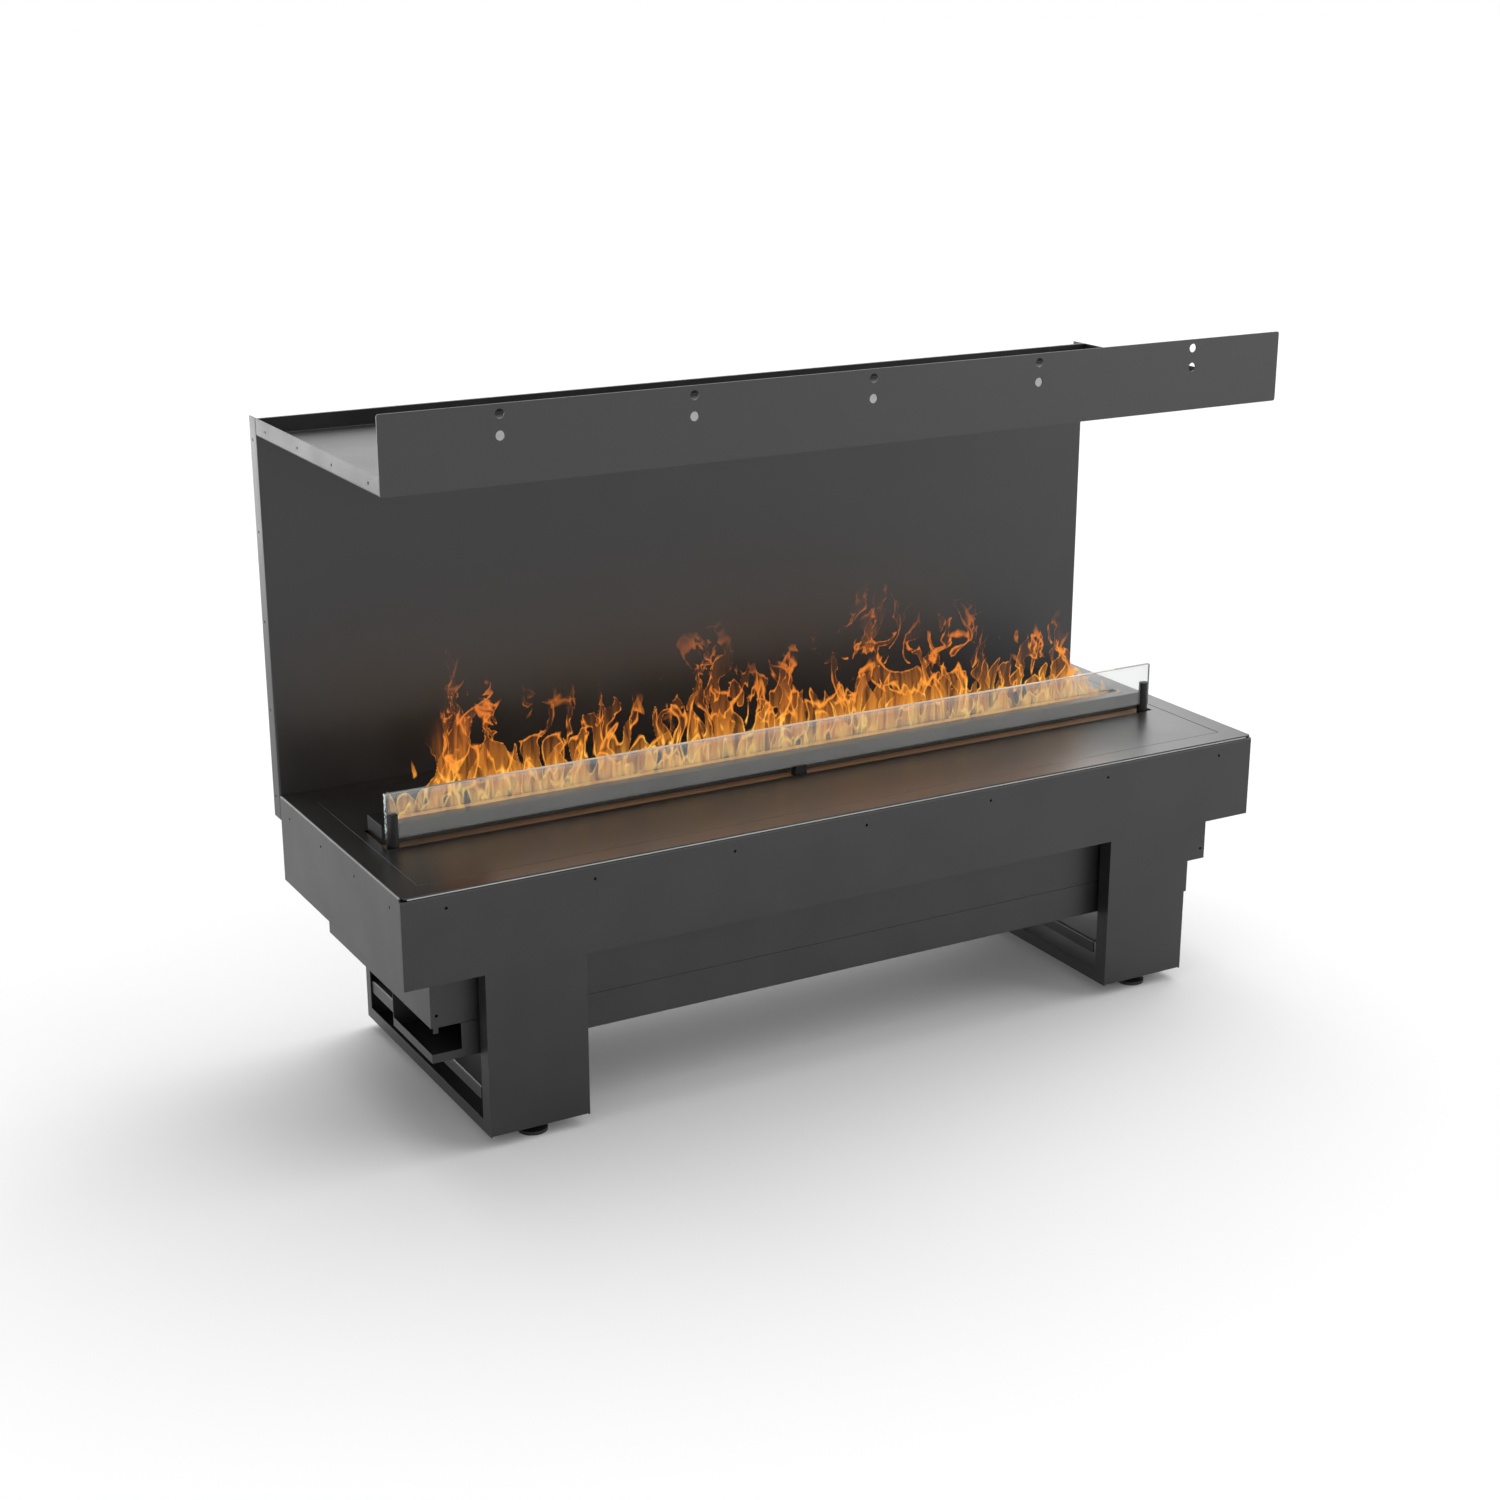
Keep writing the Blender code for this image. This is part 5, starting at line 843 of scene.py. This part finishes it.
GUARD = {"Rings": 4, "Spokes": 3, "Spacing": 6.8 * MM, "Wire": 0.6 * MM, "Centre": ZERO, "Material": ZINC}
GUARD_TREE = guard_tree()
GUARD_STANDOFF, FAN_SCREW_INSET = 1 * MM, 5 * MM
for number in FANS:
    low, high = map(Vector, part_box(f"fan_frame_{number}"))
    middle = (low + high) / 2
    centre = (middle.x, low.y - GUARD_STANDOFF, middle.z)
    grown(f"fan_guard_{number}", GUARD_TREE, {**GUARD, "Centre": centre}, "insert")
    for level, height in (("low", low.z + FAN_SCREW_INSET), ("high", high.z - FAN_SCREW_INSET)):
        own = {"Count": 2, "Start": (low.x + FAN_SCREW_INSET, low.y, height),
               "Step": (high.x - low.x - 2 * FAN_SCREW_INSET, 0.0, 0.0), "Facing": FRONT_FACING,
               "Source": small_screw, "Material": ZINC}
        grown(f"fan_screws_{number}_{level}", ROW_TREE, {**SCREW_ROW, **own}, "insert")
for source in (pan_screw, small_screw):
    bpy.data.objects.remove(source)

# %% [markdown]
# A levelling foot is moulded round a threaded stud. The thread is a ridge that climbs the stud by its pitch
# in each turn, so a spiral with a round section gives it. It stays inside the bores of nut and leg.

# %% Foot threads
def thread_tree():
    tree, sized = new_tree("stud_thread", THREAD)
    spiral = add_node(tree, "GeometryNodeCurveSpiral", {
        "Resolution": 24, "Rotations": sized["Turns"], "Start Radius": sized["Radius"],
        "End Radius": sized["Radius"], "Height": sized["Height"]}).outputs[0]
    ridge = round_wire(tree, spiral, sized["Ridge"], 6)
    end_tree(tree, placed(tree, ridge, sized["Centre"]), sized["Material"])
    return tree


THREAD = {"Turns": 27.0, "Radius": 4.75 * MM, "Ridge": 0.42 * MM, "Height": 34.0 * MM, "Centre": ZERO,
          "Material": ZINC}
THREAD_TREE = thread_tree()
THREAD_FOOT = 9.8 * MM
for corner in CORNERS:
    name = f"foot_{corner}"
    low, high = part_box(name)
    centre = ((low.x + high.x) / 2, (low.y + high.y) / 2, low.z + THREAD_FOOT)
    grown(f"{name}_thread", THREAD_TREE, {**THREAD, "Centre": centre}, name)

# %% [markdown]
# The leads of the three mist makers run over the tub's floor, from the control box to the mist tank. Each
# lead is one round cable, and it is tied down at even distances. The tree takes the path as straight legs,
# rounds the corners, gives the path a round section, and sets a small strap round the cable at each tie.

# %% Leads
def lead_path(name, spots):
    """A source path of straight legs between these spots."""
    curve = bpy.data.curves.new(name, "CURVE")
    curve.dimensions = "3D"
    legs = curve.splines.new("POLY")
    legs.points.add(len(spots) - 1)
    for point, spot in zip(legs.points, spots):
        point.co = (*spot, 1)
    return link(name, curve)


def lead_tree(sizes):
    tree, sized = new_tree("tied_lead", sizes)
    path = add_node(tree, "GeometryNodeObjectInfo", {"Object": sized["Source"]}).outputs["Geometry"]
    rounded = add_node(tree, "GeometryNodeFilletCurve", {
        "Curve": path, "Count": 8, "Radius": sized["Bend"], "Limit Radius": True}, mode="POLY").outputs[0]
    cable = round_wire(tree, rounded, sized["Cable"], 12)
    ties = add_node(tree, "GeometryNodeCurveToPoints", {
        "Curve": rounded, "Length": sized["Tie Spacing"]}, mode="LENGTH").outputs
    reach = result(tree, MATH, sized["Cable"], sized["Strap Gap"], operation="ADD")
    hoop = add_node(tree, "GeometryNodeCurvePrimitiveCircle", {"Resolution": 16, "Radius": reach}).outputs[0]
    flat = add_node(tree, "GeometryNodeCurvePrimitiveQuadrilateral", {
        "Width": sized["Strap Thickness"], "Height": sized["Strap Width"]}).outputs[0]
    strap = result(tree, "GeometryNodeCurveToMesh", hoop, flat)
    tied = copies_on(tree, ties["Points"], strap, Rotation=ties["Rotation"])
    end_tree(tree, joined(tree, cable, tied), sized["Material"])
    return tree


LEAD = {"Cable": 1.7 * MM, "Bend": 5.0 * MM, "Tie Spacing": 0.07, "Strap Gap": 0.3 * MM,
        "Strap Thickness": 0.9 * MM, "Strap Width": 2.6 * MM, "Material": RUBBER}
OUTLET_SPACING, LEAD_SPACING, LEAD_DEPTH, LEAD_ASIDE = 20 * MM, 4.5 * MM, 22.5 * MM, 15 * MM
box_middle, box_rear = (lid_low.x + lid_high.x) / 2, lid_high.y - 2 * MM
tub_floor, tank_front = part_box("control_box")[0][2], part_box("mist_tank")[0][1]
outlet, low, inlet = tub_floor + 14 * MM, tub_floor + 3 * MM, tub_floor + 11 * MM
for number, offset in ((1, -1), (2, 0), (3, 1)):
    fan_low, fan_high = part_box(f"fan_frame_{number}")
    start, end = box_middle + offset * OUTLET_SPACING, (fan_low.x + fan_high.x) / 2 + LEAD_ASIDE
    depth = tank_front - LEAD_DEPTH - offset * LEAD_SPACING
    path = lead_path(f"lead_path_{number}", [
        (start, box_rear, outlet), (start, depth, outlet), (start, depth, low),
        (end, depth, low), (end, depth, inlet), (end, tank_front, inlet)])
    sizes = {**LEAD, "Source": path}
    grown(f"transducer_lead_{number}", lead_tree(sizes), sizes, "insert")
    bpy.data.objects.remove(path)

# %% [markdown]
# The filler cap is moulded, with fine ribs round its rim for the fingers. The ribs are one short rounded
# bar, repeated round a circle, and they turn with the cap.

# %% Ribs of the filler cap
def rib_tree():
    tree, sized = new_tree("ribbed_rim", RIBS)
    spots = add_node(tree, "GeometryNodeMeshCircle", {"Vertices": sized["Count"], "Radius": sized["Rim"]})
    top = result(tree, "ShaderNodeCombineXYZ", 0.0, 0.0, sized["Height"])
    bar = add_node(tree, "GeometryNodeCurvePrimitiveLine", {"End": top}).outputs[0]
    ribs = copies_on(tree, spots.outputs[0], round_wire(tree, bar, sized["Rib"], 8))
    end_tree(tree, placed(tree, ribs, sized["Centre"]), sized["Material"])
    return tree


cap_low, cap_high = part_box("filler_cap")
RIB_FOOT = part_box("water_tank")[1][2] + 0.5 * MM
RIBS = {"Count": 48, "Rim": (cap_high.x - cap_low.x) / 2, "Rib": 0.55 * MM, "Height": 2.4 * MM,
        "Centre": ((cap_low.x + cap_high.x) / 2, (cap_low.y + cap_high.y) / 2, RIB_FOOT), "Material": ABS}
grown("cap_ribs", rib_tree(), RIBS, "filler_cap")

# %% [markdown]
# The studio is a pale, matt floor in a white room. To the camera, in reflections and through glass, the
# room is plain white and the floor is a little brighter than its light alone makes it. The light that the
# room gives to the object is weaker, so that the soft shadow in front of the object stays.

# %% Floor and room
FLOOR_REACH, FLOOR_GLOW = 60.0, 0.06


def seen_directly(tree):
    """One for rays from the camera, mirrored ones and ones through glass, and zero for the room's light."""
    rays = add_node(tree, "ShaderNodeLightPath").outputs
    seen = result(tree, MATH, rays["Is Camera Ray"], rays["Is Glossy Ray"], operation="ADD")
    return result(tree, MATH, seen, rays["Is Transmission Ray"], operation="ADD")


def studio_floor():
    made = bpy.data.materials.new("studio_floor")
    made.use_nodes = True
    tree = made.node_tree
    tree.nodes.clear()
    place = add_node(tree, "ShaderNodeTexCoord").outputs["Object"]
    grain = add_node(tree, "ShaderNodeTexNoise", {"Vector": place, "Scale": per_metre(700), "Detail": 2.0})
    matt = result(tree, "ShaderNodeBsdfDiffuse", two_tones(tree, grain.outputs["Fac"], "#ededed", "#f0f0f0"))
    strength = result(tree, MATH, seen_directly(tree), FLOOR_GLOW, **TIMES)
    glow = add_node(tree, "ShaderNodeEmission", {"Strength": strength}).outputs[0]
    add_node(tree, "ShaderNodeOutputMaterial", {"Surface": result(tree, "ShaderNodeAddShader", matt, glow)})
    return made


def studio_world(strength):
    world = bpy.data.worlds.new("studio_world")
    world.use_nodes = True
    tree = world.node_tree
    tree.nodes.clear()
    level = result(tree, RANGE, seen_directly(tree), 0.0, 1.0, strength, 1.0)
    back = add_node(tree, "ShaderNodeBackground", {"Strength": level, "Color": (1, 1, 1, 1)})
    add_node(tree, "ShaderNodeOutputWorld", {"Surface": back.outputs[0]})
    bpy.context.scene.world = world


work = bmesh.new()
corners = ((-1, -1), (1, -1), (1, 1), (-1, 1))
work.faces.new([work.verts.new((x * FLOOR_REACH, y * FLOOR_REACH, 0)) for x, y in corners])
floor = link("studio_floor", to_mesh(work, "studio_floor"))
give_finish(floor, studio_floor())
studio_world(0.43)
print("floor", floor.name, "world", bpy.context.scene.world.name)

# %% [markdown]
# Two large, soft lights give the floor its shade: one from above and a little behind, one from the right.
# Five cards light only the object: one behind it, one low in front, one for its right half, and two at its
# left end, which brighten the ends of the sheets there. Two narrow warm lamps over the slot stand for the
# glow of the fire: one lights the deck in front of it, and one the back panel.

# %% Lamps
def large_light(name, place, spread, share):
    """A light as wide as this angle, which lights a floor that faces it to this share of its own colour."""
    lamp = bpy.data.lights.new(name, "SUN")
    lamp.angle = math.radians(spread)
    lamp.energy = share * math.pi
    link(name, lamp).rotation_euler = (-Vector(place)).to_track_quat("-Z", "Y").to_euler()


def soft_lamp(name, place, target, size, radiance, text="#ffffff"):
    """A rectangular lamp of this brightness at its face, pointed at a target."""
    lamp = bpy.data.lights.new(name, "AREA")
    lamp.shape = "RECTANGLE"
    lamp.size, lamp.size_y = size
    lamp.energy = radiance * math.pi * size[0] * size[1]
    lamp.color = colour(text)[:3]
    holder = link(name, lamp)
    holder.location = place
    holder.rotation_euler = (Vector(target) - Vector(place)).to_track_quat("-Z", "Y").to_euler()
    holder.visible_camera = False
    holder.visible_transmission = False
    return holder


def spare_the_floor(holders):
    """Keeps lamps that only draw an edge or a side of the object from lighting the floor as well."""
    spared = bpy.data.collections.new("spared_floor")
    spared.objects.link(floor)
    for holder in holders:
        holder.light_linking.receiver_collection = spared
    spared.collection_objects[0].light_linking.link_state = "EXCLUDE"


large_light("overhead_light", (0.25, 0.45, 1.0), 62, 0.52)
large_light("side_light", (1.6, -0.2, 1.0), 80, 0.58)
# Each card has its place, its target, its width and height, and its brightness.
CARDS = {
    "back_card": ((0.9, 3.4, 1.9), (0, 0, 0.5), (5.0, 2.4), 1.0),
    "front_card": ((0.4, -3.6, 0.35), (0, 0, 0.75), (5.0, 0.6), 1.3),
    "right_card": ((2.6, -2.5, 0.8), (0.4, 0, 0.85), (1.8, 0.6), 1.8),
    "left_card": ((-1.75, 2.7, 0.5), (LEFT, 0, 0.8), (2.4, 0.9), 3.0),
    "edge_card": ((-1.75, 2.7, 1.3), (LEFT, 0, DECK), (1.6, 0.3), 3.0),
}
spare_the_floor([soft_lamp(name, *sizes) for name, sizes in CARDS.items()])
GLOW_HEIGHT, GLOW_X, GLOW_AHEAD, GLOW_BEHIND = DECK + 0.09, 0.06, SLOT_Y - 12 * MM, SLOT_Y + 30 * MM
soft_lamp(
    "fire_glow_forward", (GLOW_X, GLOW_AHEAD, GLOW_HEIGHT), (GLOW_X, FRONT - 1, GLOW_HEIGHT - 0.4),
    (1.04, 0.07), 1.4, "#ffd9ba")
soft_lamp(
    "fire_glow_back", (0, GLOW_BEHIND, GLOW_HEIGHT), (0, BACK + 1, GLOW_HEIGHT + 0.5),
    (1.15, 0.07), 0.6, "#ffdfc2")
print("lamps", [item.name for item in bpy.data.lights])

# %% [markdown]
# Last, the view transform is set to Standard, so that a colour comes out as it was written.

# %% Finish
bpy.context.scene.view_settings.view_transform = "Standard"
